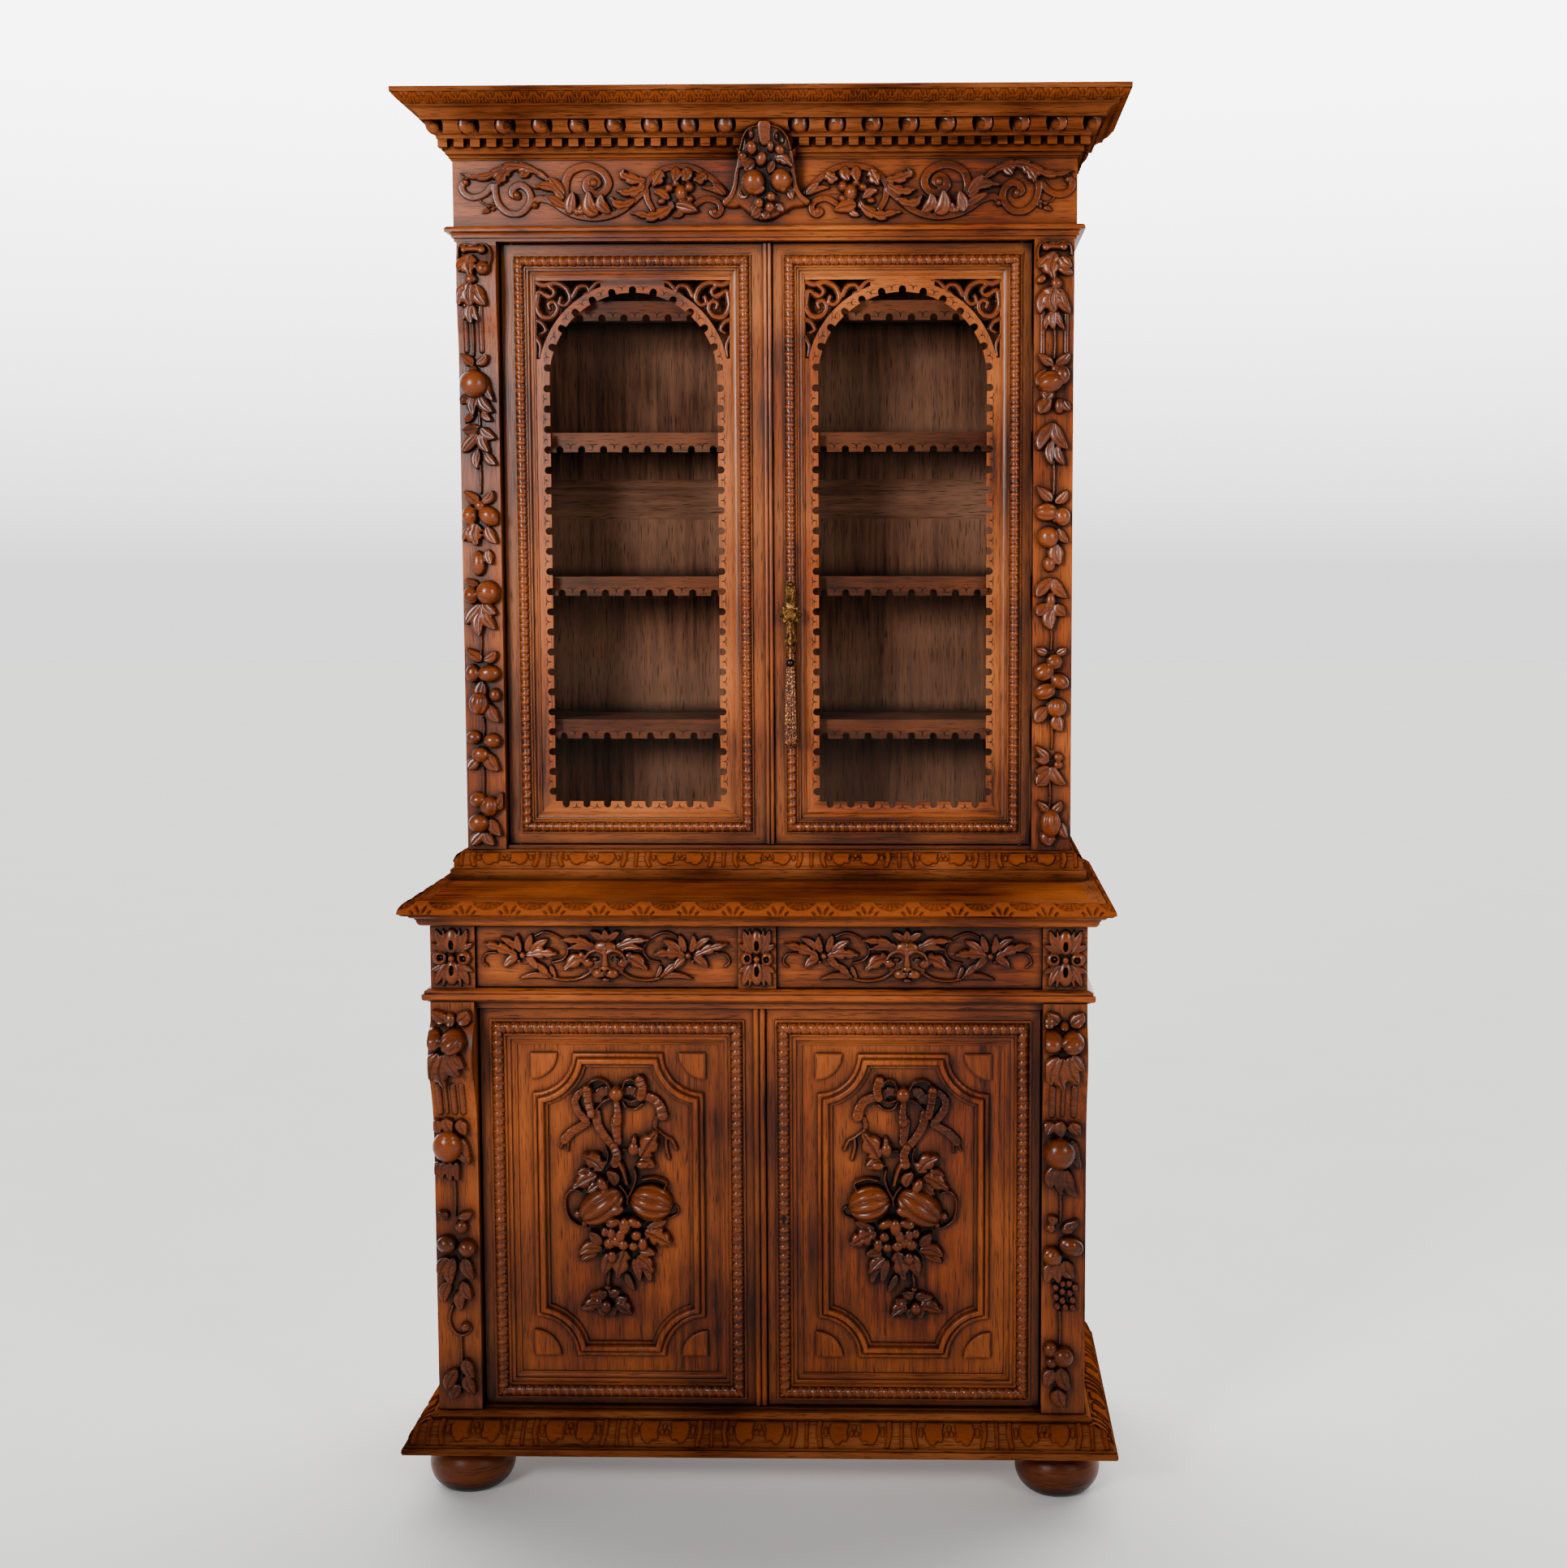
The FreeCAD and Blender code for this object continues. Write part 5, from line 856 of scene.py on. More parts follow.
carve_drop(
    up_right,
    [(498, 2185, 8, 8), (529, 2186, 8, 8), (531, 2143, 14, 8, 0, -20), (490, 2128, 10, 7, 0, 30),
     (516, 2121, 10, 11), (507, 1950, 22, 19, 5, 15), (528, 1962, 13, 17), (516, 1973, 9, 9),
     (523, 1908, 9, 14), (502, 1720, 20, 16, 6, 0), (529, 1712, 14, 17), (518, 1708, 8, 8),
     (505, 1676, 18, 19), (507, 1628, 11, 14), (510, 1562, 9, 16), (517, 1453, 14, 14, 5, 30),
     (499, 1435, 18, 16, 5, 30), (526, 1418, 18, 14, 2, -30), (501, 1400, 19, 15, 5, 20),
     (521, 1371, 17, 18, 6, 90), (525, 1281, 9, 8), (525, 1267, 9, 8), (512, 1161, 25, 18, 7, 90)],
    [(513, 2176, 512, 2128, 28), (524, 2168, 543, 2150, 17), (502, 2168, 485, 2148, 15),
     (513, 2114, 513, 2070, 36), (505, 2112, 487, 2068, 18), (522, 2112, 541, 2068, 18),
     (513, 2075, 513, 2040, 15), (508, 2073, 498, 2040, 10), (519, 2073, 531, 2040, 11),
     (512, 1980, 485, 1999, 15), (516, 1982, 541, 2001, 15), (500, 1972, 483, 1942, 14),
     (510, 1938, 498, 1918, 20), (508, 1922, 487, 1894, 21), (530, 1918, 543, 1900, 14),
     (512, 1878, 486, 1829, 19), (514, 1878, 538, 1831, 19), (512, 1848, 510, 1803, 15),
     (520, 1838, 532, 1803, 15), (512, 1740, 483, 1766, 17), (516, 1736, 538, 1759, 15),
     (522, 1692, 540, 1666, 15), (520, 1664, 526, 1626, 23), (512, 1603, 484, 1569, 18),
     (514, 1603, 538, 1567, 18), (505, 1557, 485, 1536, 18), (520, 1557, 536, 1536, 18),
     (512, 1548, 511, 1510, 21), (505, 1470, 483, 1477, 14), (520, 1468, 538, 1478, 13),
     (505, 1372, 484, 1343, 20), (522, 1358, 531, 1328, 20), (508, 1276, 483, 1302, 14),
     (510, 1276, 482, 1279, 12), (510, 1263, 483, 1256, 14), (512, 1264, 538, 1230, 18),
     (508, 1252, 486, 1230, 22), (508, 1180, 487, 1202, 14), (512, 1180, 531, 1202, 14),
     (530, 1163, 542, 1133, 16), (512, 1146, 510, 1119, 24)],
    [(514, 2044, 1992, 7), (514, 1880, 1860, 6), (514, 1810, 1752, 7), (511, 1514, 1474, 6),
     (513, 1340, 1296, 6), (510, 1238, 1190, 6)],
    [(493, 2075, 2000, 11), (535, 2075, 2000, 11)])
up_right.stem([(499, 2186), (512, 2186), (528, 2186)], (13, 13), 11)
up_right.stem([(486, 2158), (484, 2173), (487, 2188), (499, 2195.5), (514, 2192), (530, 2195), (540, 2187),
               (542, 2172)], (5, 5), 10)
UP_CONSOLE_REACH, UP_CONSOLE_LOW, UP_CONSOLE_HIGH = 10, 1985, 2199.7
UP_CONSOLE = (((0, 0), (0.10, 0.12), (0.35, 0.25)), ((0.35, 0.25), (1, 0.62), (0.35, 0.97)))
for side, drop in (("left", up_left), ("right", up_right)):
    ground = console_face(UP_FRONT, UP_CONSOLE_REACH, UP_CONSOLE_LOW, UP_CONSOLE_HIGH, UP_CONSOLE, drop.z)
    relief(f"upper_{side}_fruit_drop", drop, ground, "carcass", carved_oak)

# Upper doors: slim oak frames with carved mouldings, glazed behind a sawn arch with a scalloped
# edge; pierced scrolls fill the corners over the arch. The panes are old drawn glass.
UP_DOOR_HALF, UP_DOOR_LOW, UP_DOOR_HIGH, UP_DOOR_FACE, UP_MOULDING = 213.5, 1138.4, 2179.5, 33, 37.5
up_strip = gadroon_band(24, 1.2, 2.6)
up_bead = arc((0.08 * UP_MOULDING, 1.5), (0.31 * UP_MOULDING, 10), (0.56 * UP_MOULDING, 2.5), up_strip.z.size)
# Drawn glass: nearly clear with a breath of green that drifts, and a hard mirror glint at a slant.
GLASS_IOR = 1.5
glass, tree = new_material("glass_drawn_pane")
thick = add(tree, "TexNoise", {"Vector": add(tree, "TexCoord").outputs["Object"], "Scale": 5.0}).outputs[0]
tint = add(tree, "Mix", {0: thick, 6: linear("#e9efeb"), 7: linear("#f6f8f6")}, data_type="RGBA").outputs[2]
through_pane = add(tree, "BsdfTransparent", {"Color": tint})
shine = add(tree, "BsdfPrincipled", {"Base Color": linear("#0c0d0d"), "Roughness": 0.03, "IOR": GLASS_IOR})
inner_side = add(tree, "NewGeometry").outputs["Backfacing"]
bend = add(tree, "Mix", {0: inner_side, 2: GLASS_IOR, 3: 1 / GLASS_IOR}).outputs[0]
pane = add(tree, "MixShader", {0: add(tree, "Fresnel", {"IOR": bend}).outputs[0], 1: through_pane.outputs[0],
                               2: shine.outputs[0]})
add(tree, "OutputMaterial", {"Surface": pane.outputs[0]})
scrolls = Carving((-176, -50), (1994, 2140), 1.0)
scrolls.sunk = -0.3
scrolls.height[:] = scrolls.sunk
# The scrolls of one corner, as (line, widths at its ends).
for points, wide in (
        ([(-174, 2133), (-160, 2128), (-138, 2132), (-120, 2122), (-113, 2104), (-122, 2092), (-132, 2096),
          (-130, 2106)], (8, 5)),
        ([(-150, 2126), (-142, 2117), (-146, 2108), (-156, 2112)], (6, 4)),
        ([(-172, 2112), (-174, 2090), (-164, 2072), (-146, 2072), (-136, 2086), (-142, 2098), (-152, 2095),
          (-150, 2086)], (8, 5)),
        ([(-176, 2112), (-166, 2116), (-152, 2106), (-144, 2110)], (7, 4)),
        ([(-175, 2066), (-164, 2060), (-158, 2048), (-166, 2042)], (7, 4)),
        ([(-176, 2036), (-168, 2020), (-170, 2000)], (7, 4)),
        ([(-108, 2108), (-98, 2124), (-84, 2126), (-78, 2116), (-86, 2112)], (7, 4)),
        ([(-76, 2120), (-64, 2132), (-50, 2134)], (7, 4))):
    scrolls.stem(points, np.multiply(1.5, wide), 3, lift=2)
PANE_FACE, FRET_FACE, OPEN_HALF, OPEN_LOW, ARCH_LEVEL, FRET_PITCH = 47.6, 43, 151.7, 1195.5, 1962.2, 36.51
FRET_RIM = 10
MARK_OUT = OPEN_HALF + FRET_RIM
# The upper doors get a lighter, warmer copy of the waxed oak: painted light for the stronger light that falls
# on them.
UP_DOOR_LIT_TONES = ("#2a1006", "#6c3111", "#985324")
for side, middle in (("left", -240.5), ("right", 244)):
    label = f"upper_{side}_door"
    mitre = door_mitre(middle, UP_DOOR_HALF, UP_DOOR_LOW, UP_DOOR_HIGH)
    dress(oak(f"oak_{label}_waxed", LENGTHWISE, *UP_DOOR_LIT_TONES, mitre=mitre),
          f"{label}_frame", f"{label}_moulding")
    dress(oak(f"oak_{label}_sawn_waxed", LENGTHWISE, *UP_DOOR_LIT_TONES, mitre=mitre, alone=True),
          f"{label}_fretwork")
    dress(glass, f"{label}_glass")
    band(f"{label}_moulding_carving", up_strip, up_bead,
         round_door(middle, UP_DOOR_HALF, UP_DOOR_LOW, UP_DOOR_HIGH, UP_DOOR_FACE), label, carved_oak)
    for corner, way in (("left", 1), ("right", -1)):
        relief(f"{label}_scroll_{corner}", scrolls.copied(middle, across=way), PANE_FACE, label, carved_oak)
    sides = [(middle + way * MARK_OUT, OPEN_LOW + row * FRET_PITCH, -90 * way)
             for way in (-1, 1) for row in range(1, 21)]
    sill = [(middle + OPEN_HALF * count / 4, OPEN_LOW - FRET_RIM, 180) for count in range(-3, 4)]
    bearings = np.pi * np.arange(1, 13) / 13
    head = [(middle + MARK_OUT * np.cos(b), ARCH_LEVEL + MARK_OUT * np.sin(b), np.degrees(b) - 90)
            for b in bearings]
    forked_marks(f"{label}_fret_marks", sides + sill + head, FRET_FACE, label, 1.6)
dress(upright_oak, "upper_astragal")

# Lock furniture: a cast brass escutcheon pinned over the keyhole, with a rosette round the key and
# scrolled plates above and below, its key, and the steel locks, bolts and pins hidden in the wood.


def metal(name, bright, dull, rough, cloud):
    """Bare metal gone dull in patches: a noise with clouds of the given size in mm mixes the bright
    and the tarnished tone and roughens the dull parts."""
    material, tree = new_material(name)
    patch = add(tree, "TexNoise", {"Vector": add(tree, "TexCoord").outputs["Object"],
                                   "Scale": 1000 / cloud, "Detail": 4.0}).outputs[0]
    share = add(tree, "MapRange", {0: patch, 1: 0.35, 2: 0.65}).outputs[0]
    tone = add(tree, "Mix", {0: share, 6: linear(dull), 7: linear(bright)}, data_type="RGBA").outputs[2]
    dulled = add(tree, "MapRange", {0: patch, 1: 0.3, 2: 0.7, 3: rough + 0.18, 4: rough}).outputs[0]
    body = add(tree, "BsdfPrincipled", {"Base Color": tone, "Metallic": 1.0, "Roughness": dulled})
    add(tree, "OutputMaterial", {"Surface": body.outputs[0]})
    return material


# Cast brass left unpolished: brown in patches, with a dim yellow shine between them.
brass = metal("brass_cast_aged", "#664420", "#24140a", 0.34, 9)
# Filed steel: grey and cloudy, with a broad soft shine.
steel = metal("steel_filed_dull", "#6c6a66", "#3a3835", 0.45, 14)
dress(steel, "door_pivots", "locating_dowels", "shelf_pins", "upper_lock_bolt", "upper_lock_case",
      "lower_lock_bolt", "lower_lock_case")
dress(brass, "key", "key_escutcheon")
KEY_X, KEY_Z, ESCUTCHEON_FACE = 42, 1537, 20
rosette = Carving((KEY_X - 21, KEY_X + 21), (KEY_Z - 66, KEY_Z + 62), 0.7)
rosette.ribbon([(KEY_X, KEY_Z + 15), (KEY_X, KEY_Z + 50)], (15, 10), 2.2)
rosette.ribbon([(KEY_X, KEY_Z - 15), (KEY_X, KEY_Z - 58)], (11, 16), 2.2)
for petal in np.arange(8) * np.pi / 4:
    c, s = np.cos(petal), np.sin(petal)
    rosette.leaf([(KEY_X + 6 * c, KEY_Z + 6 * s), (KEY_X + 19.5 * c, KEY_Z + 19.5 * s)], 13, 4)
    rosette.fruit(KEY_X + 11 * np.cos(petal + 0.39), KEY_Z + 11 * np.sin(petal + 0.39), 2.6, 2.6, 4.2)
for way in (-1, 1):
    rosette.stem([(KEY_X + way * 2, KEY_Z - 30), (KEY_X + way * 7, KEY_Z - 44), (KEY_X + way * 6, KEY_Z - 54),
                  (KEY_X + way * 2, KEY_Z - 50)], (3, 4), 4)
    rosette.stem([(KEY_X + way * 2, KEY_Z + 22), (KEY_X + way * 6, KEY_Z + 36), (KEY_X + way * 5, KEY_Z + 46),
                  (KEY_X + way * 1.5, KEY_Z + 42)], (3, 4), 4)
for z, size in ((KEY_Z + 55, 5), (KEY_Z + 30, 3.2), (KEY_Z - 61, 4.5), (KEY_Z - 36, 3.2)):
    rosette.fruit(KEY_X, z, size, size, 4.5)
rosette.fruit(KEY_X, KEY_Z, 7.5, 7.5, 4)
relief("escutcheon_rosette", rosette, ESCUTCHEON_FACE, "upper_right_door", brass)

# Tassel: a twisted silk cord looped through the key's bow and run down through a blackened ball into
# the head of a skirt of bullion, gold and brown threads each wound round itself.

# Bullion thread: dark silk with gilt wire wound round it, seen as gold specks about 3 mm apart.
silk, tree = new_material("silk_bullion_thread")
wrap = add(tree, "TexCoord").outputs["Object"]
speck = add(tree, "TexNoise", {"Vector": wrap, "Scale": 330.0, "Detail": 2.0}).outputs[0]
share = add(tree, "MapRange", {0: speck, 1: 0.44, 2: 0.54}).outputs[0]
brown = add(tree, "Mix", {0: share, 6: linear("#1c0b09"), 7: linear("#5f2d16")}, data_type="RGBA").outputs[2]
gilt = add(tree, "MapRange", {0: speck, 1: 0.57, 2: 0.62}).outputs[0]
thread = add(tree, "Mix", {0: gilt, 6: brown, 7: linear("#94682c")}, data_type="RGBA").outputs[2]
fibre = add(tree, "BsdfPrincipled", {"Base Color": thread, "Roughness": 0.3, "Metallic": gilt,
                                      "Specular IOR Level": 0.12})
add(tree, "OutputMaterial", {"Surface": fibre.outputs[0]})
CORD_Y, CORD_TOP, CORD_LOW, CORD_RADIUS = 9.5, 1525, 1400, 2.5
cord_line = bpy.data.curves.new("tassel_silk_cord", "CURVE")
cord_line.dimensions = "3D"
cord_line.bevel_depth = CORD_RADIUS / 1000
cord_line.bevel_resolution = 4
cord_line.use_fill_caps = True
route = np.full((7, 4), (KEY_X / 1000, CORD_Y / 1000, 0, 1))
route[:, 2] = np.linspace(CORD_TOP, CORD_LOW, 7) / 1000
hang = cord_line.splines.new("NURBS")
hang.points.add(len(route) - 1)
hang.points.foreach_set("co", route.ravel())
hang.order_u = 3
hang.use_endpoint_u = True
cord_line.materials.append(silk)
cord = bpy.data.objects.new("tassel_silk_cord", cord_line)
bpy.context.scene.collection.objects.link(cord)
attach(cord, "tassel")


def turning(name, profile, strands, material):
    """A hanging piece turned about the cord: radius against height, each radius rippled by the cosine
    of its strands round the turn and by a finer winding that climbs along every strand."""
    bearing = np.linspace(0, 2 * np.pi, 97)[:-1, None]
    radius, height = profile.T
    ripple = np.cos(strands * bearing) + 0.45 * np.cos(2 * np.pi * height / 4.5 + 0.5 * strands * bearing)
    reach = radius * (1 + (0.085 if strands else 0) * ripple)
    points = np.stack((KEY_X + reach * np.cos(bearing), CORD_Y + reach * np.sin(bearing),
                       np.broadcast_to(height, reach.shape)), -1)
    return surface(name, points, "tassel", material, loop=True)


# Blackened steel, polished: a small dark mirror with one bright glint.
ball_steel = metal("steel_ball_blackened", "#3a3634", "#141110", 0.14, 5)
BALL_RADIUS, BALL_LEVEL, SKIRT_TOP, SKIRT_LOW = 7.2, 1451, 1444, 1303
swing = np.linspace(-np.pi / 2, np.pi / 2, 25)
ball_profile = np.stack((BALL_RADIUS * np.cos(swing), BALL_LEVEL + BALL_RADIUS * np.sin(swing)), -1)
ball = turning("tassel_ball", ball_profile, 0, ball_steel)
fall = np.linspace(0, 1, 90)
flare = 6.5 + 4.2 * fall + 0.9 * np.sin(np.pi * fall)
skirt_profile = np.concatenate((
    [(0, SKIRT_LOW + 4), (8, SKIRT_LOW + 1.5)],
    np.stack((flare, SKIRT_TOP - fall * (SKIRT_TOP - SKIRT_LOW)), -1)[::-1],
    [(4, SKIRT_TOP + 0.6), (0, SKIRT_TOP + 0.8)]))
skirt = turning("tassel_skirt", skirt_profile, 18, silk)
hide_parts("tassel")
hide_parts("tassel_cord")
dress(silk, "tassel", "tassel_cord")

# Cartouche: a strapwork shield cut from a thick block and planted over the frieze and the cornice's
# lower members, carved with a bunch of fruit.
CARTOUCHE_LOW, CARTOUCHE_HIGH = 2229, 2396
badge = Carving((-76, 90), (CARTOUCHE_LOW, CARTOUCHE_HIGH), 1.0)
# The shield's outline, its rolled rim, side straps and the ears pierced beside its head.
shield = through([
    (3, 2392), (24, 2390), (35, 2385), (43, 2375), (48, 2362), (50, 2352), (58, 2354), (54, 2342), (53, 2330),
    (55, 2310), (59, 2286), (68, 2270), (80, 2265), (76, 2260), (65, 2256), (52, 2255), (35, 2246),
    (18, 2236), (3, 2231.5), (-12, 2234.5), (-25, 2244), (-41, 2257), (-49, 2255), (-64, 2256), (-70, 2263),
    (-58, 2272), (-51, 2290), (-48, 2310), (-43, 2332), (-42, 2343), (-47, 2356), (-38, 2353), (-36, 2361),
    (-32, 2374), (-26, 2384), (-17, 2390), (3, 2392)])
badge.plate(shield, 8, 5)
badge.stem([(-39, 2350), (-36, 2362), (-31, 2375), (-22, 2385), (-8, 2389), (5, 2389.5), (18, 2389),
            (32, 2384), (42, 2373), (47, 2360), (49, 2350)], (6, 6), 14)
for points in ([(-40, 2346), (-41, 2332), (-46, 2310), (-49, 2292), (-56, 2274), (-67, 2263)],
               [(50, 2346), (51, 2332), (53, 2310), (57, 2288), (65, 2273), (76, 2264)]):
    badge.ribbon(points, (6, 11), 12)
badge.dig(-22, 2371, 7, 11, 6, -20)
badge.dig(32, 2370, 7, 12, 6, 20)
badge.ribbon([(4, 2388), (4, 2377), (5, 2366)], (26, 22), 17)
badge.fruit(-19, 2376, 7, 11, 15)
badge.fruit(25, 2372, 5, 8, 14)
# Leaves under the fruit, in rows like those of the doors' leaves.
for points, wide, rise, lobes in (
        ([(-12, 2332), (-24, 2322), (-30, 2312)], 17, 19, 0),
        ([(-10, 2330), (-30, 2330), (-44, 2318)], 13, 15, 0),
        ([(20, 2332), (15, 2320), (12, 2308)], 15, 20, 0), ([(22, 2334), (36, 2334), (54, 2320)], 18, 19, 2),
        ([(2, 2262), (-12, 2250), (-20, 2238)], 15, 13, 0), ([(18, 2254), (28, 2254), (36, 2246)], 15, 12, 0),
        ([(8, 2246), (4, 2240), (2, 2233)], 20, 12, 2), ([(-4, 2246), (-14, 2240), (-18, 2236)], 12, 11, 0),
        ([(46, 2292), (48, 2276), (52, 2266)], 14, 13, 0),
        ([(-40, 2284), (-38, 2272), (-24, 2272)], 8, 11, 0)):
    badge.leaf(points, LEAF_SWELL * wide, rise, lobes, lift=BUNCH_LIFT)
PLUM_SWELL = 1.1
# The bunch, as (x, z, half sizes, rise, turn).
for x, z, wide, tall, rise, turn in (
        (-18, 2352, 9.5, 11.5, 23, 10), (15, 2354, 6.5, 9, 20, 0), (31, 2348, 9, 8, 21, -30),
        (-34, 2339, 8, 7, 15, 0), (-1, 2333, 9, 12.5, 25, -20), (-15.5, 2295, 19, 20, 32, 0),
        (32, 2298, 17.5, 18, 31, 0), (-6, 2281, 12, 7, 25, 25), (36, 2283, 6, 6, 24, 0),
        (14.5, 2270.5, 8.5, 8.5, 23, 0), (-6.5, 2260.5, 8, 9, 21, 0), (12, 2253, 8.5, 8.5, 21, 0)):
    dome = min(rise, wide, tall)
    badge.fruit(x, z, PLUM_SWELL * wide, PLUM_SWELL * tall, dome, turn, lift=BUNCH_LIFT + rise - dome)
FRIEZE_FACE = 6
lean = np.interp(badge.z, (CARTOUCHE_LOW, 2300, CARTOUCHE_HIGH), (3, 12, 30))[:, None]
cartouche = relief("cartouche_carving", badge, FRIEZE_FACE, "carcass", carved_oak, lift=lean)
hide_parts("frieze_cartouche")

# Frieze: flat oak boards round the head of the upper case, the front one carved with two running
# scrolls of acanthus that mirror each other about the cartouche.
half_frieze = Carving((-546, -58), (2230, 2338), 1.0)
# The running bands with their volutes, as (line, widths at its ends, rise).
for points, wide, rise in (
        ([(-476, 2296), (-476, 2281), (-469, 2262), (-452, 2248), (-430, 2249), (-414, 2268), (-416, 2286),
          (-430, 2297), (-443, 2292), (-446, 2282), (-437, 2277)], (9, 11), 9),
        ([(-482, 2296), (-495, 2282), (-515, 2276), (-530, 2282), (-536, 2295), (-528, 2305)], (9, 10), 8),
        ([(-349, 2273), (-352, 2295), (-342, 2319), (-314, 2329), (-286, 2319), (-275, 2299), (-285, 2282),
          (-303, 2281), (-315, 2292), (-311, 2305), (-300, 2308), (-294, 2300), (-301, 2295)], (12, 11), 9),
        ([(-408, 2266), (-396, 2273), (-374, 2267), (-355, 2254), (-331, 2243), (-296, 2239), (-262, 2247),
          (-236, 2264), (-212, 2286)], (10, 9), 9),
        ([(-207, 2297), (-197, 2310), (-181, 2321), (-162, 2326), (-143, 2328), (-124, 2325), (-103, 2314),
          (-84, 2299), (-66, 2281)], (9, 8), 9),
        ([(-209, 2288), (-206, 2270), (-197, 2253)], (9, 8), 8),
        ([(-120, 2262), (-106, 2270), (-91, 2270), (-78, 2262), (-77, 2250), (-85, 2243), (-92, 2248),
          (-88, 2251)], (8, 9), 9)):
    half_frieze.ribbon(points, np.add(3, wide), 0.65 * rise)
half_frieze.stem([(-505, 2273), (-499, 2266), (-486, 2262)], (4, 4), 4)
# Acanthus leaves that sheathe the bands.
for points, wide, rise, lobes in (
        ([(-372, 2297), (-400, 2318), (-426, 2327), (-448, 2328), (-469, 2320), (-491, 2311), (-517, 2311),
          (-538, 2318)], 21, 12, 6),
        ([(-448, 2327), (-464, 2310), (-470, 2296)], 24, 14, 2),
        ([(-414, 2325), (-424, 2316), (-430, 2309)], 20, 12, 0),
        ([(-352, 2271), (-378, 2293), (-409, 2292)], 20, 14, 2),
        ([(-352, 2279), (-368, 2298), (-380, 2309)], 19, 13, 0),
        ([(-347, 2256), (-368, 2269), (-386, 2278)], 17, 14, 0),
        ([(-344, 2245), (-342, 2264), (-336, 2283)], 25, 16, 0),
        ([(-294, 2243), (-309, 2258), (-309, 2284)], 30, 18, 0),
        ([(-272, 2246), (-288, 2262), (-286, 2279)], 23, 15, 0),
        ([(-330, 2246), (-320, 2256), (-317, 2264)], 20, 13, 0),
        ([(-485, 2253), (-493, 2252), (-500, 2248)], 10, 6, 0),
        ([(-227, 2270), (-246, 2262), (-262, 2264), (-272, 2276)], 20, 12, 2),
        ([(-207, 2302), (-221, 2303), (-237, 2307), (-249, 2314), (-246, 2323)], 22, 13, 3),
        ([(-209, 2295), (-225, 2286), (-242, 2282), (-262, 2286)], 21, 12, 3),
        ([(-180, 2320), (-187, 2306), (-195, 2292)], 28, 15, 2),
        ([(-155, 2326), (-155, 2312), (-157, 2298)], 22, 13, 0),
        ([(-138, 2325), (-136, 2312), (-143, 2300)], 24, 14, 0),
        ([(-101, 2314), (-112, 2306), (-124, 2303)], 25, 12, 2),
        ([(-66, 2277), (-78, 2288), (-90, 2298)], 17, 11, 0),
        ([(-68, 2277), (-89, 2288), (-110, 2290)], 12, 8, 0),
        ([(-166, 2270), (-181, 2282), (-194, 2282)], 17, 13, 0),
        ([(-162, 2267), (-166, 2256), (-183, 2245), (-200, 2240), (-216, 2244), (-237, 2246)], 22, 13, 4),
        ([(-156, 2260), (-138, 2257), (-116, 2249)], 26, 14, 0),
        ([(-142, 2250), (-151, 2244), (-162, 2240)], 14, 10, 0)):
    half_frieze.leaf(points, wide, rise, lobes, lift=1)
# Eyes of the volutes, a daisy and a cluster of fruit.
for x, z, wide, tall, rise in (
        (-438, 2279, 8, 8, 11), (-528, 2302, 7, 7, 10), (-406, 2262, 7, 7, 10), (-301, 2299, 9, 9, 12),
        (-480, 2264, 4.5, 4.5, 8), (-480, 2256, 4, 5, 7), (-488, 2261, 5, 4, 6), (-472, 2268, 5, 4, 6),
        (-473, 2259, 5, 4, 6), (-331, 2250, 9, 9, 12), (-146, 2281, 13, 17, 18), (-167, 2290, 10, 9, 14),
        (-132, 2292, 10, 11, 14), (-131, 2271, 8, 8, 11), (-155, 2297, 9, 7, 13), (-181, 2267, 9, 7, 10),
        (-87, 2249, 7, 7, 10)):
    half_frieze.fruit(x, z, wide, tall, rise)
FRIEZE_MIDDLE = 4
relief("frieze_scroll_left", half_frieze, FRIEZE_FACE, "carcass", carved_oak)
relief("frieze_scroll_right", half_frieze.copied(2 * FRIEZE_MIDDLE, across=-1), FRIEZE_FACE,
       "carcass", carved_oak)

# Cornice: mitred lengths built up of a dentil course, an egg course and a leaf-carved cyma at the
# top, glued to the frieze and backed by a dust board.
CORNICE_HALF, CORNICE_FRONT = 552.8, 6
dress(mitred_oak("oak_cornice_dry", CORNICE_HALF, CORNICE_FRONT), "cornice")
EGG_PITCH, EGG_LEVEL, EGG_LOW, EGG_HIGH, SOCKET_OUT = 64.2, 2393.7, 2374, 2404, 24
EGG_STEP = EGG_PITCH / 54
eggs = Carving((0, EGG_PITCH - EGG_STEP), (EGG_LOW, EGG_HIGH), EGG_STEP)
for x in (0, EGG_PITCH):
    for level in np.arange(EGG_LEVEL + 2.5, EGG_HIGH + 12, 2):
        eggs.fruit(x, level, 17.3, 17, 13.6)
egg_face = np.stack((np.full(eggs.z.size, SOCKET_OUT), eggs.z), -1)
cornice_runs = round_case(CORNICE_HALF, CORNICE_FRONT, CASE_BACK)
band("cornice_eggs", eggs, egg_face, cornice_runs[1:2], "carcass", carved_oak)
LEAF_PITCH, LEAF_TALL, LEAF_STEP = 30, 14.4, 1.2
leaves = Carving((0, LEAF_PITCH - LEAF_STEP), (0, LEAF_TALL), LEAF_STEP)
for x in (0, LEAF_PITCH):
    for lean in (-11, -6, 0, 6, 11):
        vein = [(x + 0.4 * lean, 13), (x + 0.8 * lean, 7), (x + lean, 1 + 0.03 * lean ** 2)]
        leaves.stem(vein, (3, 4.6), 2.0)
leaves.fruit(LEAF_PITCH / 2, 8, 2.6, 5, 2.2)
cyma = arc((66.3, 2425.3), (75, 2431.3), (84.6, 2441.2), leaves.z.size)
band("cornice_leaves", leaves, cyma, cornice_runs, "carcass", moulding_oak)

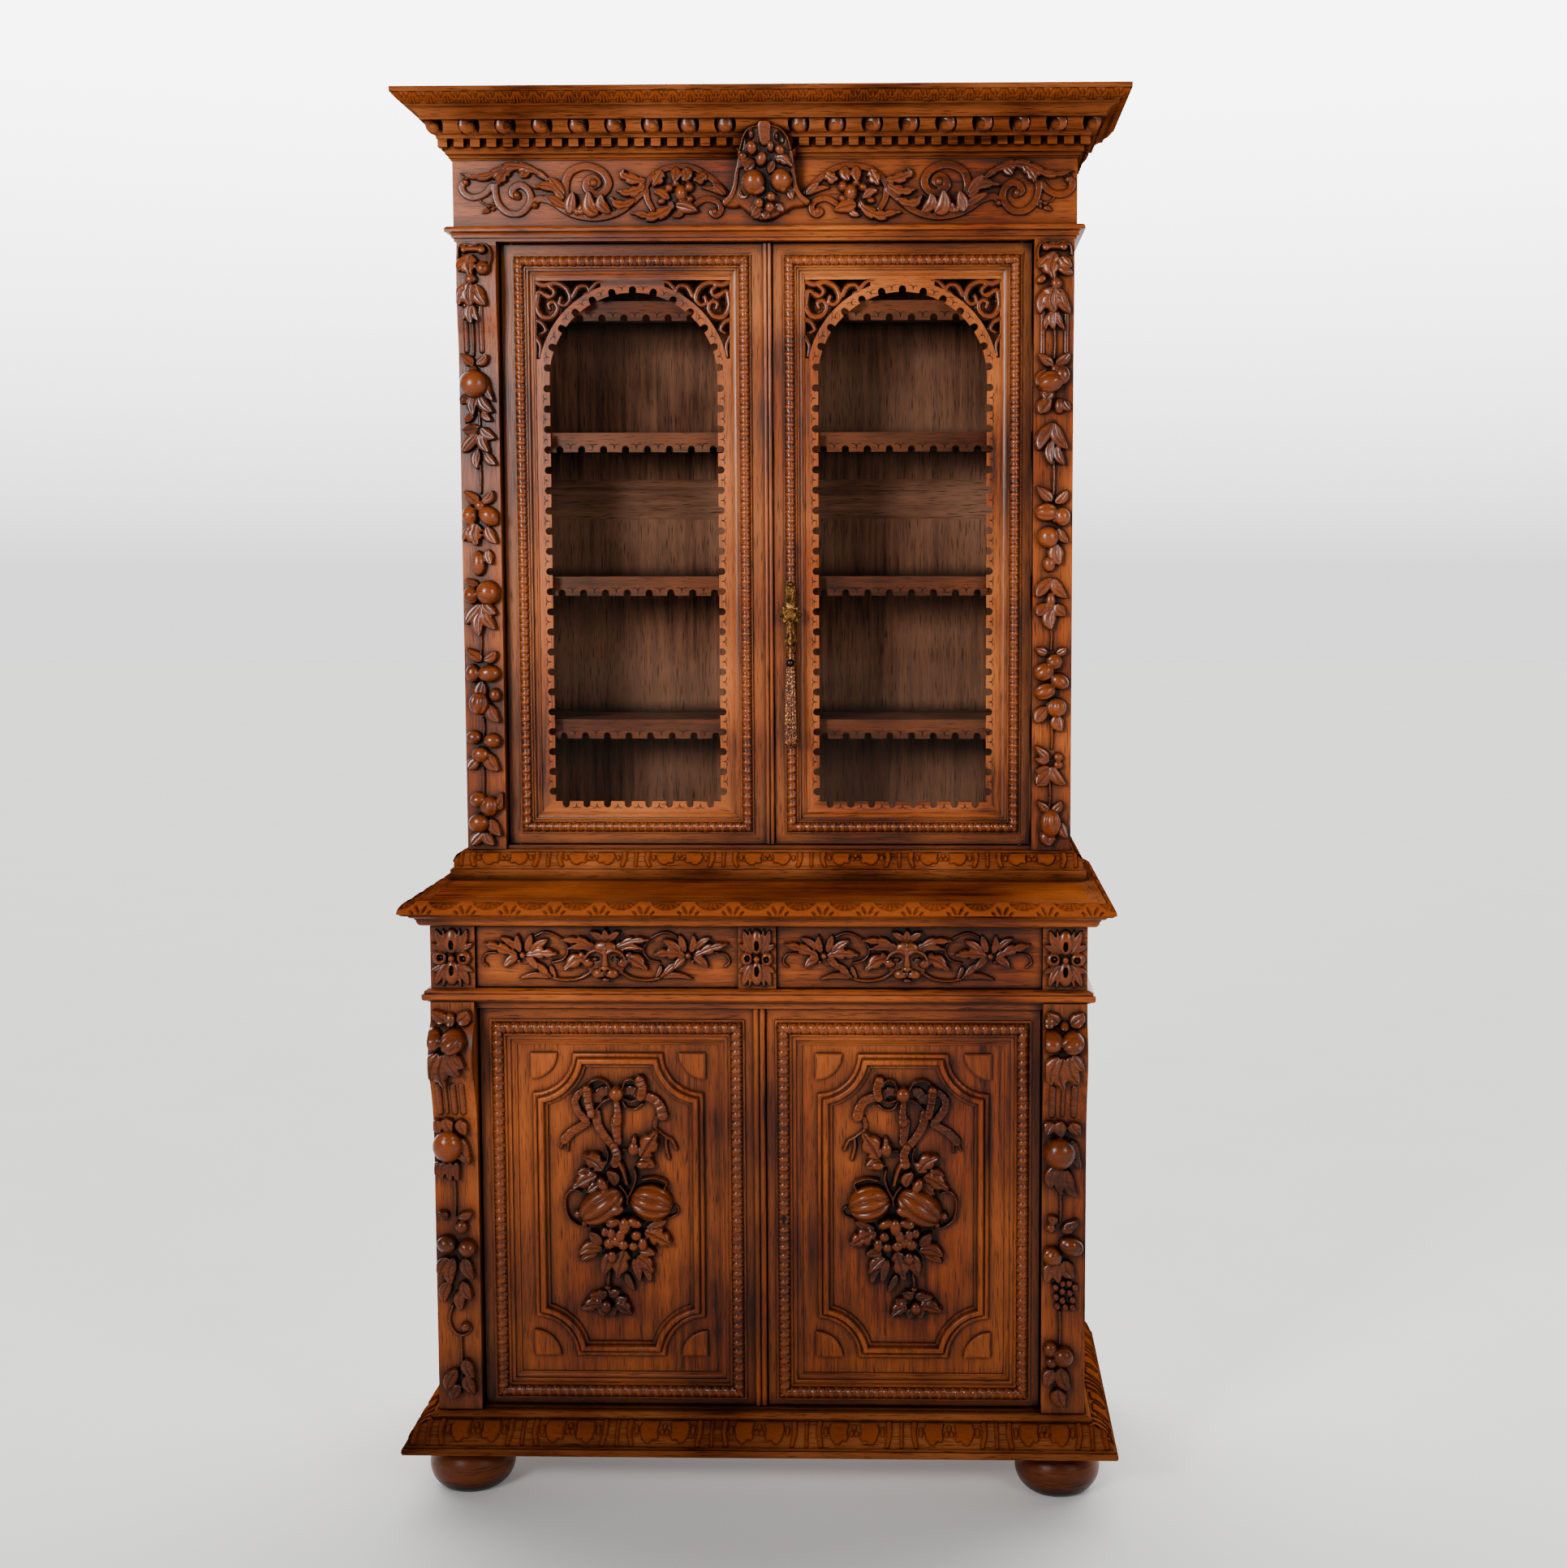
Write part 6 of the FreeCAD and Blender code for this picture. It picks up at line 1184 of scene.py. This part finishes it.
# Studio: a pale paper floor, a white surround that is bright behind the cabinet and dim in front, a
# broad lamp from the front left and a weaker one from the right, and the camera at the viewing angle
# of the photograph.
FLOOR_HALF = 30
floor_mesh = bpy.data.meshes.new("floor")
floor_mesh.from_pydata([(x * FLOOR_HALF, y * FLOOR_HALF, 0) for x, y in ((-1, -1), (1, -1), (1, 1), (-1, 1))],
                       [], [(0, 1, 2, 3)])
floor = bpy.data.objects.new("floor", floor_mesh)
bpy.context.scene.collection.objects.link(floor)
# Paper: matt and nearly white, with a faint cloudiness.
paper, tree = new_material("paper_seamless_pale")
fleck = add(tree, "TexNoise", {"Vector": add(tree, "TexCoord").outputs["Object"], "Scale": 3.0}).outputs[0]
pale = add(tree, "Mix", {0: fleck, 6: linear("#eeedeb"), 7: linear("#f4f3f1")}, data_type="RGBA").outputs[2]
matt = add(tree, "BsdfPrincipled", {"Base Color": pale, "Roughness": 0.9})
add(tree, "OutputMaterial", {"Surface": matt.outputs[0]})
floor_mesh.materials.append(paper)
world = bpy.data.worlds.new("studio")
bpy.context.scene.world = world
world.use_nodes = True
tree = world.node_tree
sky = tree.nodes["Background"]
sky.inputs["Color"].default_value = linear("#ffffff")
axis = add(tree, "SeparateXYZ", {0: add(tree, "TexCoord").outputs["Generated"]}).outputs
behind = add(tree, "MapRange", {0: axis["Y"], 1: 0.1, 2: 0.75}).outputs[0]
rising = add(tree, "MapRange", {0: axis["Z"], 1: 0.0, 2: 0.22, 3: 1.75, 4: 7.0}).outputs[0]
surround = add(tree, "Mix", {0: behind, 2: 0.22, 3: rising}).outputs[0]
tree.links.new(surround, sky.inputs["Strength"])
LAMP_AIM, LAMP_SPREAD = Vector((0, 0, 1.65)), np.radians(49)
for name, spot, size, power in (("key_lamp", (-2.2, -3.6, 2.5), 1.1, 36),
                                ("fill_lamp", (3.0, -3.4, 2.5), 1.2, 14)):
    lamp = bpy.data.objects.new(name, bpy.data.lights.new(name, "AREA"))
    lamp.data.size = size
    lamp.data.energy = power
    lamp.data.spread = LAMP_SPREAD
    lamp.location = spot
    lamp.rotation_euler = (lamp.location - LAMP_AIM).to_track_quat("Z", "Y").to_euler()
    bpy.context.scene.collection.objects.link(lamp)
turn, tilt, roll = np.radians((1.18649, -4.85952, 0.06131))
aim = Matrix.Rotation(turn, 3, "Z") @ Matrix.Rotation(tilt, 3, "X") @ Matrix.Rotation(roll, 3, "Y")
camera = bpy.data.objects.new("camera", bpy.data.cameras.new("camera"))
camera.matrix_world = (Matrix.Translation((0.29094, -3.58614, 1.62474))
                       @ (aim @ Matrix.Rotation(np.pi / 2, 3, "X")).to_4x4())
camera.data.lens = 45.865
camera.data.shift_x = -0.0661
camera.data.shift_y = -0.0307
bpy.context.scene.collection.objects.link(camera)
bpy.context.scene.camera = camera
